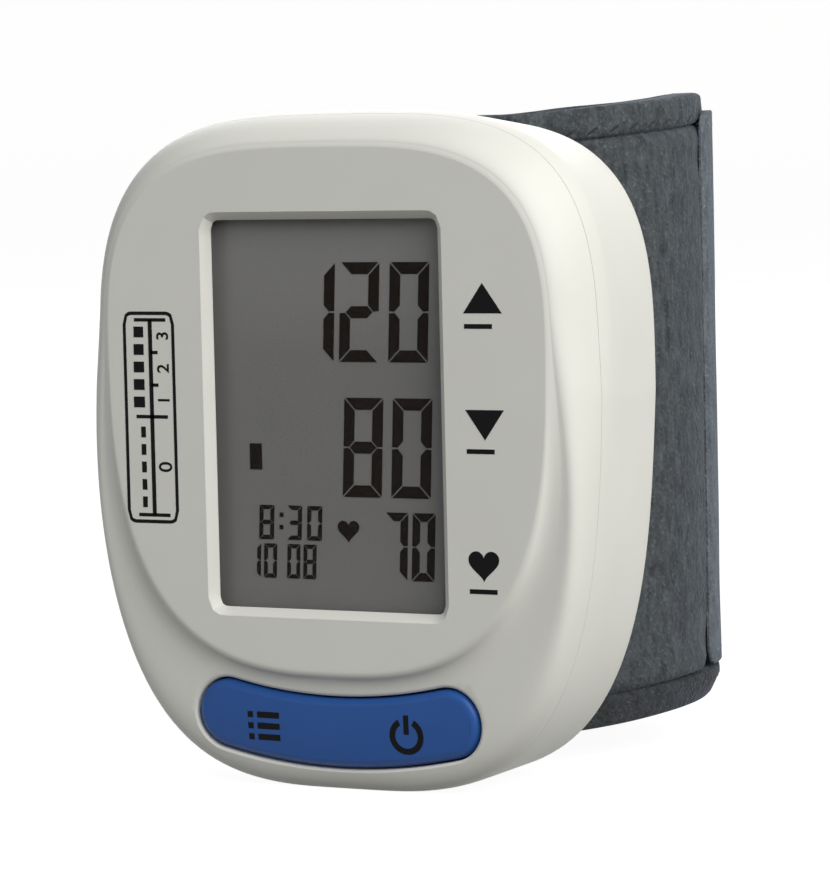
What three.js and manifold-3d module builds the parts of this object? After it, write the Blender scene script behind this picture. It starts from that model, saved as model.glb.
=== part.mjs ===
// Wrist blood pressure monitor: a moulded case with a display and one rocking key bar,
// a battery cover that slides off sideways, and a closed fabric cuff on its back.
// Millimetres. +X is the viewer's right, +Y points into the case, +Z is up.
// While modelling, y = 0 is the raised face and z = 0 the middle of the display.

import * as THREE from 'three';
import { mergeVertices } from 'three/addons/utils/BufferGeometryUtils.js';
import Module from 'manifold-3d';

const wasm = await Module();
wasm.setup();
const { lerp, smoothstep, degToRad } = THREE.MathUtils;

// Case: outside form
const caseCentreUp = 2;
const caseWidestDepth = 8;
const caseBackTaper = 1.25;
const caseBackRadius = 3.4;
const caseWall = 2;
const partingDepth = 5.6;
const partingGap = 0.3;
const caseRisePower = 3.5;
const caseDropPower = 3.3;
const caseNarrowingShare = 0.08;

// Case: raised face and the valley below it
const faceCentreUp = 5;
const faceBrow = 8.5;
const faceChin = 8;
const rimSideRun = 4.45;
const rimTopRun = 4.1;
const rimFootRun = 2.75;
const footFlatHeight = 0.3;
const faceRisePower = 3.3;
const faceDropPower = 2.75;
const faceEdgeRadius = 0.6;
const stepRunTop = 0.4;
const stepRunBottom = 1.7;
const stepDepthTop = 0.5;
const stepDepthBottom = 1.9;
const valleyRunTop = 0.3;
const valleyRunBottom = 1;
const valleyStartUp = 14;
const valleyEndUp = -22;
const rimPowerTop = 1.8;
const rimPowerBottom = 4.5;
const underFootInset = 1;
const innerRimShares = [0.5, 0.75];
const rimSlopeShare = 0.005;

// Case: joint lip, seat for the cuff, screw bosses
const lipInset = 1.25;
const lipThickness = 1.05;
const lipRootLength = 2;
const lipHeight = 0.9;
const saddleDepth = 1.5;
const saddlePadDepth = 1.8;
const saddlePadMargin = 2.2;
const bossRadius = 2.4;
const rearBossRadius = 2.95;
const bossMeetGap = 1.8;
const bossBayGap = 0.5;
const bossCrownRoom = 2.8;
const caseScrewRadius = 1.25;
const caseScrewHeadRadius = 2.1;
const caseScrewHeadHeight = 1.5;
const caseScrewWellDepth = 4.4;
const caseScrewTipDepth = 6.5;
const caseScrewWellRadius = 2.4;

// Display
const windowWidth = 30.5;
const windowHeight = 46;
const windowCornerRadius = 1;
const windowBevel = 1;
const windowLedge = 1.95;
const lensThickness = 1.2;
const lensFit = 0.3;
const glassMargin = 1.15;
const glassThickness = 2.1;
const frameWall = 1;
const zebraHeight = 2;
const zebraEndInset = 1.9;
const zebraEdgeInset = 2.55;

// Key bar: a stadium bent along one arc
const barHalfLength = 14.8;
const barHalfHeight = 4.15;
const barSagRadius = 65.8;
const barBelowFace = 2.5;
const barFrontDepth = 1.5;
const barTiltShare = 0.07;
const barCrownHeight = 0.3;
const barEdgeRadius = 0.7;
const barFit = 0.35;
const barFlangeReach = 0.7;
const barFlangeDepth = 5.3;
const barFlangeThickness = 0.65;
const barFlangeInset = 4.4;
const barLugHalfWidth = 1.6;
const barLugHalfHeight = 1.5;
const pivotPinRadius = 0.75;
const pivotPinDepth = 7.1;
const pivotFit = 0.2;
const pivotEarHeight = 1.2;
const pivotMouthWidth = 1.1;
const pivotBaseThickness = 0.5;

// Circuit board and what it carries
const boardStandoff = 4.1;
const boardThickness = 1.2;
const boardInset = 4;
const boardScrewRadius = 0.9;
const boardScrewHeadRadius = 1.7;
const boardScrewHeadHeight = 0.6;
const boardScrewDepth = 5;
const boardBossRadius = 2.1;
const boardBossGap = 0.15;
const upperBoardScrewAcross = 11;
const switchSize = 6;
const switchHeight = 1.6;
const switchPlungerRadius = 1.6;
const switchPlungerHeight = 0.9;
const switchAcross = 9.5;
const chipSize = 12;
const chipHeight = 1.1;
const chipPinCount = 8;
const chipPinWidth = 0.6;
const chipPinReach = 1;
const chipPinHeight = 0.4;
const buzzerRadius = 4.2;
const buzzerHeight = 3.4;
const buzzerHoleRadius = 1;
const buzzerGap = 0.9;
const buzzerUp = -15;

// Battery bay, cells and cover
const cellRadius = 5.1;
const cellLength = 43.5;
const cellNubRadius = 1.9;
const cellNubHeight = 1;
const cellShoulder = 0.6;
const cellFit = 0.35;
const cellFloorGap = 0.5;
const cellBackRoom = 0.95;
const cellSideRoom = 3.8;
const cellUp = -2;
const springLength = 3.3;
const springRadius = 3.1;
const springTopRadius = 2.2;
const springWireRadius = 0.28;
const springTurns = 3.5;
const contactThickness = 0.4;
const contactHalfWidth = 3.4;
const contactHalfDepth = 4;
const bayWall = 1;
const bayFloorThickness = 0.7;
const bayFloorGap = 0.45;
const coverEdgeInset = 1.95;
const coverFrontDepth = 12;
const coverLedge = 0.5;
const coverFit = 0.3;
const tongueReach = 2;
const tongueThickness = 0.7;
const tongueWidth = 7;
const tongueUpShares = [-0.55, 0.55];
const tongueRebate = 0.8;
const gripRibCount = 5;
const gripRibHeight = 0.5;
const gripRibWidth = 0.9;
const gripRibLength = 12;
const gripRibPitch = 1.8;

// Air parts
const pumpBoardGap = 0.8;
const pumpPadGap = 0.7;
const motorRadius = 5.7;
const motorBottomUp = -30;
const motorLength = 21;
const motorNeckRadius = 2;
const motorNeckHeight = 1;
const motorFlat = 1.1;
const shaftRadius = 0.6;
const shaftBuried = 6;
const eccentricRadius = 2;
const eccentricThrow = 0.6;
const eccentricHeight = 3;
const headWidth = 12.6;
const headDepth = 11.2;
const headHeight = 14;
const headCornerRadius = 2;
const headWall = 1.5;
const headWellDepth = 7;
const headSeamCount = 2;
const headSeamDepth = 0.4;
const headSeamHeight = 0.5;
const nippleRadius = 1.2;
const nippleBoreRadius = 0.6;
const nippleLength = 3.2;
const nippleBarb = 0.15;
const hoseWall = 0.9;
const hoseFit = 0.2;
const valveSideRoom = 1.75;
const valveRadius = 4.3;
const valveBottomUp = -8;
const valveLength = 16;
const valveYokeInset = 0.8;
const valveYokeHeight = 1.4;
const sensorSize = 8;
const sensorHeight = 7;
const sensorBottomUp = -2;
const sensorNippleInset = 2;
const manifoldUp = 20;
const manifoldHalfHeight = 2.5;
const manifoldFrontMargin = 2.5;
const manifoldBackMargin = 1.8;
const manifoldEndMargin = 2.3;

// Cuff: a closed roll, its layers from the wrist outwards
const cuffTopUp = 34.6;
const cuffBottomUp = -41.3;
const wristRadius = 21;
const liningThickness = 0.5;
const bladderThickness = 0.8;
const stayThickness = 0.6;
const layerGap = 0.2;
const outerThickness = 1;
const panelCrownHeight = 0.2;
const hemHeight = 3.8;
const hemStepDepth = 0.2;
const hemCornerRadius = 0.7;
const seamDepth = 0.4;
const seamWidth = 0.9;
const panelShoulder = 3;
const ringStepAngle = 7.5;
const ringInnerEndAngle = 90;
const ringOuterEndAngle = -269;
const ringFrontAngle = -90;
const seatGap = 0.4;
const liningEndAngle = 4;
const bladderHalfAngle = 110;
const stayHalfAngle = 125;
const bladderMargin = 3;
const stayMargin = 0.6;
const postRadius = 1.4;
const postAcross = 2.9;
const upperPostUp = 8;
const lowerPostUp = -26;
const postTipReach = 0.5;
const postFit = 0.35;
const clipRadius = 2.5;
const clipThickness = 0.7;
const clipRoom = 0.55;
const bladderTubeRadius = 2;
const bladderTubeLap = 1.7;

// Cuff: the free end that closes it
const flapRootAngle = 97.5;
const flapEndAngle = 7.5;
const flapGap = 0.75;
const flapThickness = 0.65;
const flapTopInset = 2.2;
const flapBottomInset = 2;
const flapEdgeChamfer = 0.2;
const patchThickness = 0.4;
const patchInset = 6;
const patchEndAngle = 15;
const patchRootAngle = 60;

// Fits and mesh fineness
const clearance = 0.3;
const screwFit = 0.15;
const overrun = 1;
const outlineSteps = 64;
const rimSteps = 4;
const cornerSteps = 4;
const roundSides = 16;
const smallSides = 10;
const barArcSteps = 12;
const barEndSteps = 8;
const springStepsPerTurn = 10;
const springSides = 5;
const weldDistance = 1e-4;
const farOut = 200;

// Worked out: depths, from the window back to the case's back
const lensFrontDepth = windowBevel + clearance;
const lensBackDepth = lensFrontDepth + lensThickness;
const glassFrontDepth = lensBackDepth + clearance;
const glassBackDepth = glassFrontDepth + glassThickness;
const boardFrontDepth = glassBackDepth + boardStandoff;
const boardBackDepth = boardFrontDepth + boardThickness;
const onBoardFront = boardFrontDepth - layerGap;
const onBoardBack = boardBackDepth + clearance;
const bossMeetDepth = boardBackDepth + bossMeetGap;
const bayFloorFront = boardBackDepth + bayFloorGap;
const bayFloorBack = bayFloorFront + bayFloorThickness;
const cellDepth = bayFloorBack + cellFloorGap + cellRadius;
const caseInnerBack = cellDepth + cellRadius + cellBackRoom;
const caseDepth = caseInnerBack + caseWall;
const caseScrewSeatDepth = caseDepth - caseScrewWellDepth;
const saddlePadFront = caseDepth - saddleDepth - saddlePadDepth;
const pumpDepth = boardBackDepth + pumpBoardGap + motorRadius;
const sensorNippleDepth = onBoardBack + sensorHeight - sensorNippleInset;
const manifoldFrontDepth = sensorNippleDepth - manifoldFrontMargin;
const manifoldBackDepth = pumpDepth + manifoldBackMargin;
const postTipDepth = saddlePadFront - clearance - clipThickness - postTipReach;
const bladderTubeTipDepth = manifoldBackDepth + nippleLength - bladderTubeLap;

// Worked out: places across, from the cuff's clips out to both sides of the case
const bayInnerAcross = -(postAcross + clipRadius + clipRoom + bayWall);
const innerCellAcross = bayInnerAcross - cellFit - cellRadius;
const outerCellAcross = innerCellAcross - cellFit - 2 * cellRadius;
const coverInnerAcross = bayInnerAcross - coverEdgeInset;
const saddlePadReach = postAcross + clipRadius + saddlePadMargin;
const pumpAcross = saddlePadReach + pumpPadGap + headWidth / 2;
const sensorAcross = pumpAcross - headWidth / 2 - clearance - sensorSize / 2;
const valveAcross = pumpAcross + headWidth / 2 + clearance + valveRadius;
const motorSideAcross = pumpAcross + motorRadius - motorFlat;
const buzzerAcross = motorSideAcross + buzzerGap + buzzerRadius;
const caseHalfWidth = caseWall
  + Math.max(cellRadius - outerCellAcross + cellSideRoom, valveAcross + valveRadius + valveSideRoom);
const faceHalfWidth = caseHalfWidth - rimSideRun;

// Worked out: the display's glass and its frame
const glassWidth = windowWidth + 2 * glassMargin;
const glassHeight = windowHeight + 2 * glassMargin;
const zebraLength = glassWidth - 2 * zebraEndInset;
const zebraUp = zebraEdgeInset - glassHeight / 2;
const frameHalfWidth = glassWidth / 2 + clearance + frameWall;
const frameHalfHeight = glassHeight / 2 + clearance + frameWall;

// Worked out: places up and down, from the cells and the window to the case's top and foot
const lowerCellEnd = cellUp - (cellLength + cellNubHeight + springLength) / 2;
const upperCellEnd = cellUp + (cellLength + cellNubHeight + springLength) / 2;
const bayBottomUp = lowerCellEnd - contactThickness - 2 * clearance;
const bayTopUp = upperCellEnd + contactThickness + 2 * clearance;
const upperBossAcross = frameHalfWidth + clearance + bossRadius;
const upperBossUp = bayTopUp + bayWall + bossBayGap + bossRadius;
const lowerBossAcross = motorSideAcross + clearance + rearBossRadius;
const lowerBossUp = bayBottomUp - bayWall - clearance / 2 - rearBossRadius;
const boardScrewUp = frameHalfHeight + boardBossGap + boardBossRadius;
const faceTopUp = windowHeight / 2 + faceBrow;
const faceBottomUp = -windowHeight / 2 - faceChin;
const barLowUp = faceBottomUp - barBelowFace - barHalfHeight;
const caseTopUp = Math.max(faceTopUp + rimTopRun, upperBossUp + bossRadius + bossCrownRoom);
const caseBottomUp = barLowUp - barHalfHeight - barFit - rimFootRun;
const caseFootDrop = -caseBottomUp - footFlatHeight;

// Worked out: ovals of the face, of the case at its widest and of its back
const faceOval = {
  halfWidth: faceHalfWidth, rise: faceTopUp - faceCentreUp, drop: faceCentreUp - faceBottomUp,
  centreUp: faceCentreUp, risePower: faceRisePower, dropPower: faceDropPower, narrowingShare: 0,
};
const caseOval = {
  halfWidth: caseHalfWidth, rise: caseTopUp - caseCentreUp, drop: caseCentreUp - caseBottomUp,
  centreUp: caseCentreUp, risePower: caseRisePower, dropPower: caseDropPower,
  narrowingShare: caseNarrowingShare,
};
const backOval = {
  ...caseOval, halfWidth: caseOval.halfWidth - caseBackTaper, rise: caseOval.rise - caseBackTaper,
};

// Worked out: the cuff's layers
const bladderInnerRadius = wristRadius + liningThickness + layerGap;
const stayInnerRadius = bladderInnerRadius + bladderThickness + layerGap;
const wallInnerRadius = stayInnerRadius + stayThickness + layerGap;
const panelRadius = wallInnerRadius + outerThickness;
const panelMiddleRadius = panelRadius + panelCrownHeight;
const hemRadius = panelRadius - hemStepDepth;
const flapInnerRadius = panelMiddleRadius + flapGap;
const flapOuterRadius = flapInnerRadius + flapThickness;
const saddleRadius = panelMiddleRadius + seatGap;
const ringCentreDepth = caseDepth - saddleDepth + saddleRadius;
const overallDepth = ringCentreDepth + flapOuterRadius;

// Worked out: places that come more than once
const upperBosses = [-upperBossAcross, upperBossAcross].map((x) => [x, upperBossUp]);
const lowerBosses = [-lowerBossAcross, lowerBossAcross].map((x) => [x, lowerBossUp]);
const caseBosses = [...upperBosses, ...lowerBosses];
const boardBosses = [
  [-upperBoardScrewAcross, boardScrewUp],
  [upperBoardScrewAcross, boardScrewUp],
  [0, -boardScrewUp],
];
const posts = [upperPostUp, lowerPostUp].flatMap((z) => [[-postAcross, z], [postAcross, z]]);

// Materials
function finish(color, roughness, metalness = 0) {
  return new THREE.MeshStandardMaterial({ color, roughness, metalness });
}
const warmWhiteAbs = () => finish(0xe6e4de, 0.4);
const blueAbs = () => finish(0x3d6fc4, 0.35);
const clearAcrylic = () => {
  const clear = finish(0xdfe4e6, 0.1);
  clear.transparent = true;
  clear.opacity = 0.35;
  return clear;
};
const lcdGrey = () => finish(0x686868, 0.3);
const naturalPlastic = () => finish(0xd9d4c6, 0.5);
const darkPlastic = () => finish(0x26272a, 0.5);
const greenBoard = () => finish(0x2c6a44, 0.5);
const steel = () => finish(0xb8babd, 0.3, 1);
const rubber = () => finish(0x3b3c3f, 0.8);
const siliconeHose = () => finish(0xd6d6d0, 0.5);
const cellJacket = () => finish(0x53606c, 0.35, 0.2);
const slateFabric = () => finish(0x4a525b, 0.95);
const liningFabric = () => finish(0x3a4048, 0.95);
const staySheet = () => finish(0xcfd2d4, 0.5);

// From three.js geometry to solids and back
function solid(geometry) {
  const bare = new THREE.BufferGeometry();
  bare.setAttribute('position', geometry.getAttribute('position'));
  bare.setIndex(geometry.getIndex());
  const merged = mergeVertices(bare, weldDistance);
  return new wasm.Manifold(new wasm.Mesh({
    numProp: 3,
    vertProperties: new Float32Array(merged.getAttribute('position').array),
    triVerts: new Uint32Array(merged.getIndex().array),
  }));
}

function geometryOf(manifold) {
  const mesh = manifold.getMesh();
  const geometry = new THREE.BufferGeometry();
  geometry.setAttribute('position', new THREE.BufferAttribute(new Float32Array(mesh.vertProperties), 3));
  geometry.setIndex(new THREE.BufferAttribute(new Uint32Array(mesh.triVerts), 1));
  return geometry;
}

function unite(...solids) {
  return solids.flat().reduce((sum, next) => sum.add(next));
}

// Basic solids, placed by their limits
function block(x0, x1, y0, y1, z0, z1) {
  const box = new THREE.BoxGeometry(x1 - x0, y1 - y0, z1 - z0);
  return solid(box.translate((x0 + x1) / 2, (y0 + y1) / 2, (z0 + z1) / 2));
}

function rodAlongDepth(radius, x, z, front, back, sides = roundSides) {
  const rod = new THREE.CylinderGeometry(radius, radius, back - front, sides);
  return solid(rod.translate(x, (front + back) / 2, z));
}

function rodUpright(radius, x, y, bottom, top, sides = roundSides) {
  const rod = new THREE.CylinderGeometry(radius, radius, top - bottom, sides).rotateX(Math.PI / 2);
  return solid(rod.translate(x, y, (bottom + top) / 2));
}

// A revolved profile of [radius, height] pairs, standing upright
function turnedUpright(profile, x, y, sides = roundSides) {
  const points = profile.map(([r, h]) => new THREE.Vector2(r, h));
  return solid(new THREE.LatheGeometry(points, sides).rotateX(Math.PI / 2).translate(x, y, 0));
}

// A flat outline of Vector2 (x, up) pushed from one depth to another
function plate(points, front, back, holes = []) {
  const shape = new THREE.Shape(points);
  shape.holes = holes.map((hole) => new THREE.Path(hole));
  const slab = new THREE.ExtrudeGeometry(shape, { depth: back - front, bevelEnabled: false, steps: 1 });
  return solid(slab.rotateX(Math.PI / 2).translate(0, back, 0));
}

// A closed solid through loops of Vector3 with equal counts; flats gives the end loops as Vector2
function loft(loops, flats) {
  const count = loops[0].length;
  const positions = loops.flat().flatMap((p) => [p.x, p.y, p.z]);
  const faces = [];
  for (let k = 0; k + 1 < loops.length; k += 1) {
    for (let i = 0; i < count; i += 1) {
      const j = (i + 1) % count;
      const [a, b] = [k * count + i, k * count + j];
      faces.push([a, b, b + count], [a, b + count, a + count]);
    }
  }
  const last = (loops.length - 1) * count;
  const turn = THREE.ShapeUtils.area(flats[0]) > 0;
  THREE.ShapeUtils.triangulateShape(flats[0], []).forEach(([a, b, c]) => {
    faces.push(turn ? [c, b, a] : [a, b, c]);
  });
  THREE.ShapeUtils.triangulateShape(flats[1], []).forEach(([a, b, c]) => {
    faces.push(turn ? [last + a, last + b, last + c] : [last + c, last + b, last + a]);
  });
  const outward = enclosedVolume(positions, faces) > 0;
  const index = faces.flatMap(([a, b, c]) => (outward ? [a, b, c] : [a, c, b]));
  const geometry = new THREE.BufferGeometry();
  geometry.setAttribute('position', new THREE.Float32BufferAttribute(positions, 3));
  geometry.setIndex(index);
  return solid(geometry);
}

function enclosedVolume(positions, faces) {
  const corner = (i) => new THREE.Vector3().fromArray(positions, 3 * i);
  return faces.reduce((sum, [a, b, c]) => sum + corner(a).dot(corner(b).cross(corner(c))), 0);
}

// Outlines
function ovalPoint(oval, grow, angle) {
  const across = Math.cos(angle);
  const up = Math.sin(angle);
  const rise = (up >= 0 ? oval.rise : oval.drop) + grow;
  const power = up >= 0 ? oval.risePower : oval.dropPower;
  const sum = Math.abs(across / (oval.halfWidth + grow)) ** power + Math.abs(up / rise) ** power;
  const reach = sum ** (-1 / power);
  const narrowing = oval.narrowingShare * Math.max(0, -reach * up / rise);
  return new THREE.Vector2(reach * across * (1 - narrowing), oval.centreUp + reach * up);
}

function ovalOutline(oval, grow) {
  return outlineAngles().map((angle) => ovalPoint(oval, grow, angle));
}

function outlineAngles() {
  return Array.from({ length: outlineSteps }, (_, i) => (2 * Math.PI * i) / outlineSteps);
}

function arcPoints(cx, cz, radius, from, to, steps) {
  return Array.from({ length: steps + 1 }, (_, i) => {
    const angle = lerp(from, to, i / steps);
    return new THREE.Vector2(cx + radius * Math.cos(angle), cz + radius * Math.sin(angle));
  });
}

function roundedRectangle(width, height, radius, cx = 0, cz = 0) {
  const [w, h] = [width / 2 - radius, height / 2 - radius];
  const quarter = Math.PI / 2;
  return [[w, h], [-w, h], [-w, -h], [w, -h]].flatMap(([x, z], i) => (
    arcPoints(cx + x, cz + z, radius, i * quarter, (i + 1) * quarter, cornerSteps)
  ));
}

// The key bar's outline: a band round an arc, with half-round ends
function barOutline(grow) {
  const halfHeight = barHalfHeight + grow;
  const half = Math.asin(barHalfLength / barSagRadius);
  const down = -Math.PI / 2;
  const turn = Math.PI;
  const centreUp = barLowUp + barSagRadius;
  const end = arcPoints(0, centreUp, barSagRadius, down - half, down + half, 1);
  const lower = arcPoints(0, centreUp, barSagRadius + halfHeight, down - half, down + half, barArcSteps);
  const right = arcPoints(end[1].x, end[1].y, halfHeight, down + half, down + half + turn, barEndSteps);
  const upper = arcPoints(0, centreUp, barSagRadius - halfHeight, down + half, down - half, barArcSteps);
  const left = arcPoints(end[0].x, end[0].y, halfHeight, down - half - turn, down - half, barEndSteps);
  return [...lower.slice(0, -1), ...right.slice(0, -1), ...upper.slice(0, -1), ...left.slice(0, -1)];
}

// Case section at one angle round the outline: from the raised face out to the back
function at(flat, depth) {
  return new THREE.Vector3(flat.x, depth, flat.y);
}

function sectionAt(angle) {
  const edge = ovalPoint(faceOval, 0, angle);
  const low = 1 - smoothstep(edge.y, valleyEndUp, valleyStartUp);
  const stepRun = lerp(stepRunTop, stepRunBottom, low);
  const stepDepth = lerp(stepDepthTop, stepDepthBottom, low);
  const valley = ovalPoint(faceOval, stepRun + lerp(valleyRunTop, valleyRunBottom, low), angle);
  const widest = ovalPoint(caseOval, 0, angle);
  const power = lerp(rimPowerTop, rimPowerBottom, low);
  const rim = (share) => {
    const turn = (share * Math.PI) / 2;
    const out = Math.sin(turn) ** (2 / power);
    const deep = 1 - Math.cos(turn) ** (2 / power);
    return at(valley.clone().lerp(widest, out), lerp(stepDepth, caseWidestDepth, deep));
  };
  return { angle, stepRun, stepDepth, valley, widest, rim };
}

function outerSection(angle) {
  const section = sectionAt(angle);
  const softCorner = 1 - Math.SQRT1_2;
  const face = (grow, depth) => at(ovalPoint(faceOval, grow, angle), depth);
  const wall = (inset, depth) => at(ovalPoint(backOval, -inset, angle), depth);
  const rimPoints = Array.from({ length: rimSteps }, (_, i) => section.rim((i + 1) / rimSteps));
  return [
    face(-faceEdgeRadius, 0),
    face(-faceEdgeRadius * softCorner, faceEdgeRadius * softCorner),
    face(0, faceEdgeRadius),
    face(section.stepRun, section.stepDepth),
    section.rim(0),
    ...rimPoints,
    wall(0, caseDepth - caseBackRadius),
    wall(caseBackRadius * softCorner, caseDepth - caseBackRadius * softCorner),
    wall(caseBackRadius, caseDepth),
  ];
}

// The same section one wall further in
function innerSection(angle) {
  const section = sectionAt(angle);
  const outward = section.widest.clone().sub(section.valley).normalize();
  const innerRim = (share) => {
    const along = section.rim(share + rimSlopeShare).sub(section.rim(share - rimSlopeShare)).normalize();
    const run = along.x * outward.x + along.z * outward.y;
    const inward = new THREE.Vector3(-along.y * outward.x, run, -along.y * outward.y).normalize();
    return section.rim(share).addScaledVector(inward, caseWall);
  };
  const underFoot = ovalPoint(faceOval, section.stepRun - underFootInset, angle);
  return [
    at(ovalPoint(faceOval, -caseWall, angle), caseWall),
    at(underFoot, section.stepDepth + caseWall),
    ...innerRimShares.map(innerRim),
    at(ovalPoint(caseOval, -caseWall, angle), caseWidestDepth),
    at(ovalPoint(backOval, -caseWall, angle), caseDepth - caseBackRadius),
    at(ovalPoint(backOval, -caseBackRadius, angle), caseInnerBack),
  ];
}

function loftSections(sections) {
  const loops = sections[0].map((_, k) => sections.map((section) => section[k]));
  const flatten = (loop) => loop.map((p) => new THREE.Vector2(p.x, p.z));
  return loft(loops, [flatten(loops[0]), flatten(loops[loops.length - 1])]);
}

// Case walls, whole, before they are parted into front shell, rear shell and battery cover
const footCut = block(-farOut, farOut, -farOut, farOut, -farOut, -caseFootDrop);
const caseBlank = loftSections(outlineAngles().map(outerSection)).subtract(footCut);
const caseHollow = loftSections(outlineAngles().map(innerSection));
const caseWalls = caseBlank.subtract(caseHollow);

function slice(y0, y1) {
  return block(-farOut, farOut, y0, y1, -farOut, farOut);
}

// Front shell
function frontShell() {
  const edgeDepth = partingDepth - partingGap / 2;
  const lipSlot = plate(ovalOutline(caseOval, -lipInset + clearance),
    edgeDepth - lipHeight - clearance, edgeDepth + overrun);
  const bosses = caseBosses.map(([x, z]) => rodAlongDepth(bossRadius, x, z, caseWall,
    bossMeetDepth - clearance / 2, roundSides));
  const boardPosts = boardBosses.map(([x, z]) => rodAlongDepth(boardBossRadius, x, z,
    caseWall / 2, boardFrontDepth - clearance, smallSides));
  const pilots = caseBosses.map(([x, z]) => rodAlongDepth(caseScrewRadius + screwFit, x, z,
    caseScrewTipDepth - clearance, farOut, smallSides));
  const boardPilots = boardBosses.map(([x, z]) => rodAlongDepth(boardScrewRadius + screwFit, x, z,
    boardScrewDepth - clearance, farOut, smallSides));
  const shell = caseWalls.intersect(slice(-overrun, edgeDepth)).subtract(lipSlot);
  return unite(shell, bosses, boardPosts)
    .intersect(caseBlank)
    .subtract(unite(pilots, boardPilots))
    .subtract(windowCut())
    .subtract(lensRebate())
    .subtract(plate(barOutline(barFit), -overrun, barFlangeDepth - clearance));
}

function windowCut() {
  const rim = (grow) => roundedRectangle(windowWidth + 2 * grow, windowHeight + 2 * grow,
    windowCornerRadius + grow);
  const loops = [[2 * windowBevel, -windowBevel], [0, windowBevel], [0, caseWall + overrun]]
    .map(([grow, depth]) => rim(grow).map((flat) => at(flat, depth)));
  return loft(loops, [rim(2 * windowBevel), rim(0)]);
}

function lensWidth() {
  return windowWidth + 2 * windowLedge;
}

function lensHeight() {
  return windowHeight + 2 * windowLedge;
}

function lensRebate() {
  return plate(roundedRectangle(lensWidth() + 2 * lensFit, lensHeight() + 2 * lensFit,
    windowCornerRadius + lensFit), windowBevel, caseWall + overrun);
}

// Rear shell
function rearShell() {
  const edgeDepth = partingDepth + partingGap / 2;
  const lipRootDepth = edgeDepth + lipRootLength;
  const bossRoom = caseBosses.map(([x, z]) => rodAlongDepth(bossRadius + clearance, x, z, 0,
    lipRootDepth + overrun, roundSides));
  const barRoom = plate(barOutline(barFit + barFlangeReach + clearance), 0, lipRootDepth + overrun);
  const lip = plate(ovalOutline(caseOval, -lipInset), edgeDepth - lipHeight, lipRootDepth,
    [ovalOutline(caseOval, -lipInset - lipThickness)]).subtract(unite(bossRoom, barRoom));
  const tubes = caseBosses.map(([x, z]) => rodAlongDepth(rearBossRadius, x, z,
    bossMeetDepth + clearance / 2, caseDepth - overrun, roundSides));
  const pad = block(bayInnerAcross + bayWall, saddlePadReach, saddlePadFront, caseDepth - overrun,
    cuffBottomUp, cuffTopUp);
  const walls = unite(caseWalls.intersect(slice(edgeDepth, farOut)), lip, tubes, batteryBay(), pad)
    .intersect(caseBlank);
  const screwHoles = caseBosses.flatMap(([x, z]) => [
    rodAlongDepth(caseScrewRadius + screwFit, x, z, bossMeetDepth - overrun, caseDepth + overrun, smallSides),
    rodAlongDepth(caseScrewWellRadius, x, z, caseScrewSeatDepth, caseDepth + overrun, roundSides),
  ]);
  const postHoles = posts.map(([x, z]) => rodAlongDepth(postRadius + postFit, x, z,
    saddlePadFront - overrun, caseDepth + overrun, smallSides));
  const tubeHole = rodAlongDepth(bladderTubeRadius + postFit, 0, manifoldUp,
    saddlePadFront - overrun, caseDepth + overrun, smallSides);
  const saddle = rodUpright(saddleRadius, 0, ringCentreDepth, -farOut, farOut, outlineSteps);
  return walls
    .subtract(unite(screwHoles, postHoles, tubeHole))
    .subtract(saddle)
    .subtract(coverOpening(0))
    .subtract(tongueSlots());
}

function batteryBay() {
  const [left, right] = [-caseHalfWidth, bayInnerAcross];
  const outer = block(left, right + bayWall, bayFloorFront, caseDepth - overrun,
    bayBottomUp - bayWall, bayTopUp + bayWall);
  const inner = block(left - overrun, right, bayFloorBack, caseDepth, bayBottomUp, bayTopUp);
  return outer.subtract(inner);
}

function coverOpening(inset) {
  return block(-farOut, coverInnerAcross - inset, coverFrontDepth + inset, farOut,
    bayBottomUp + coverLedge + inset, bayTopUp - coverLedge - inset);
}

function tonguePlaces() {
  const middle = (bayBottomUp + bayTopUp) / 2;
  const half = (bayTopUp - bayBottomUp) / 2;
  return tongueUpShares.map((share) => middle + share * half);
}

function tongueSlots() {
  const reach = tongueReach + coverFit;
  return unite(tonguePlaces().map((z) => block(coverInnerAcross - overrun, coverInnerAcross + reach,
    caseInnerBack - overrun, caseInnerBack + tongueRebate,
    z - tongueWidth / 2 - clearance, z + tongueWidth / 2 + clearance)));
}

// Battery cover: the piece of the case wall that fills its opening, with tongues and grip ribs
function batteryCover() {
  const panel = caseWalls.intersect(coverOpening(coverFit));
  const back = caseInnerBack + tongueRebate - clearance;
  const tongues = tonguePlaces().map((z) => block(coverInnerAcross - 2 * tongueReach,
    coverInnerAcross + tongueReach - coverFit, back - tongueThickness, back,
    z - tongueWidth / 2, z + tongueWidth / 2));
  const ribs = Array.from({ length: gripRibCount }, (_, i) => {
    const x = caseBackRadius - backOval.halfWidth + i * gripRibPitch;
    return block(x, x + gripRibWidth, caseDepth - caseWall / 2, caseDepth + gripRibHeight,
      cellUp - gripRibLength / 2, cellUp + gripRibLength / 2);
  });
  return unite(panel, tongues, ribs);
}

// Display: window, glass, frame and the rubber connector strip
function displayWindow() {
  return plate(roundedRectangle(lensWidth(), lensHeight(), windowCornerRadius), lensFrontDepth,
    lensBackDepth);
}

function lcdGlass() {
  return plate(roundedRectangle(glassWidth, glassHeight, windowCornerRadius / 2),
    glassFrontDepth, glassBackDepth);
}

function lcdFrame() {
  const inner = (grow) => roundedRectangle(glassWidth + 2 * grow, glassHeight + 2 * grow, windowCornerRadius);
  const ring = plate(inner(clearance + frameWall), glassFrontDepth, onBoardFront, [inner(clearance)]);
  const shelf = plate(inner(clearance + frameWall / 2), glassBackDepth + layerGap,
    glassBackDepth + layerGap + frameWall, [inner(-frameWall)]);
  return ring.add(shelf);
}

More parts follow.
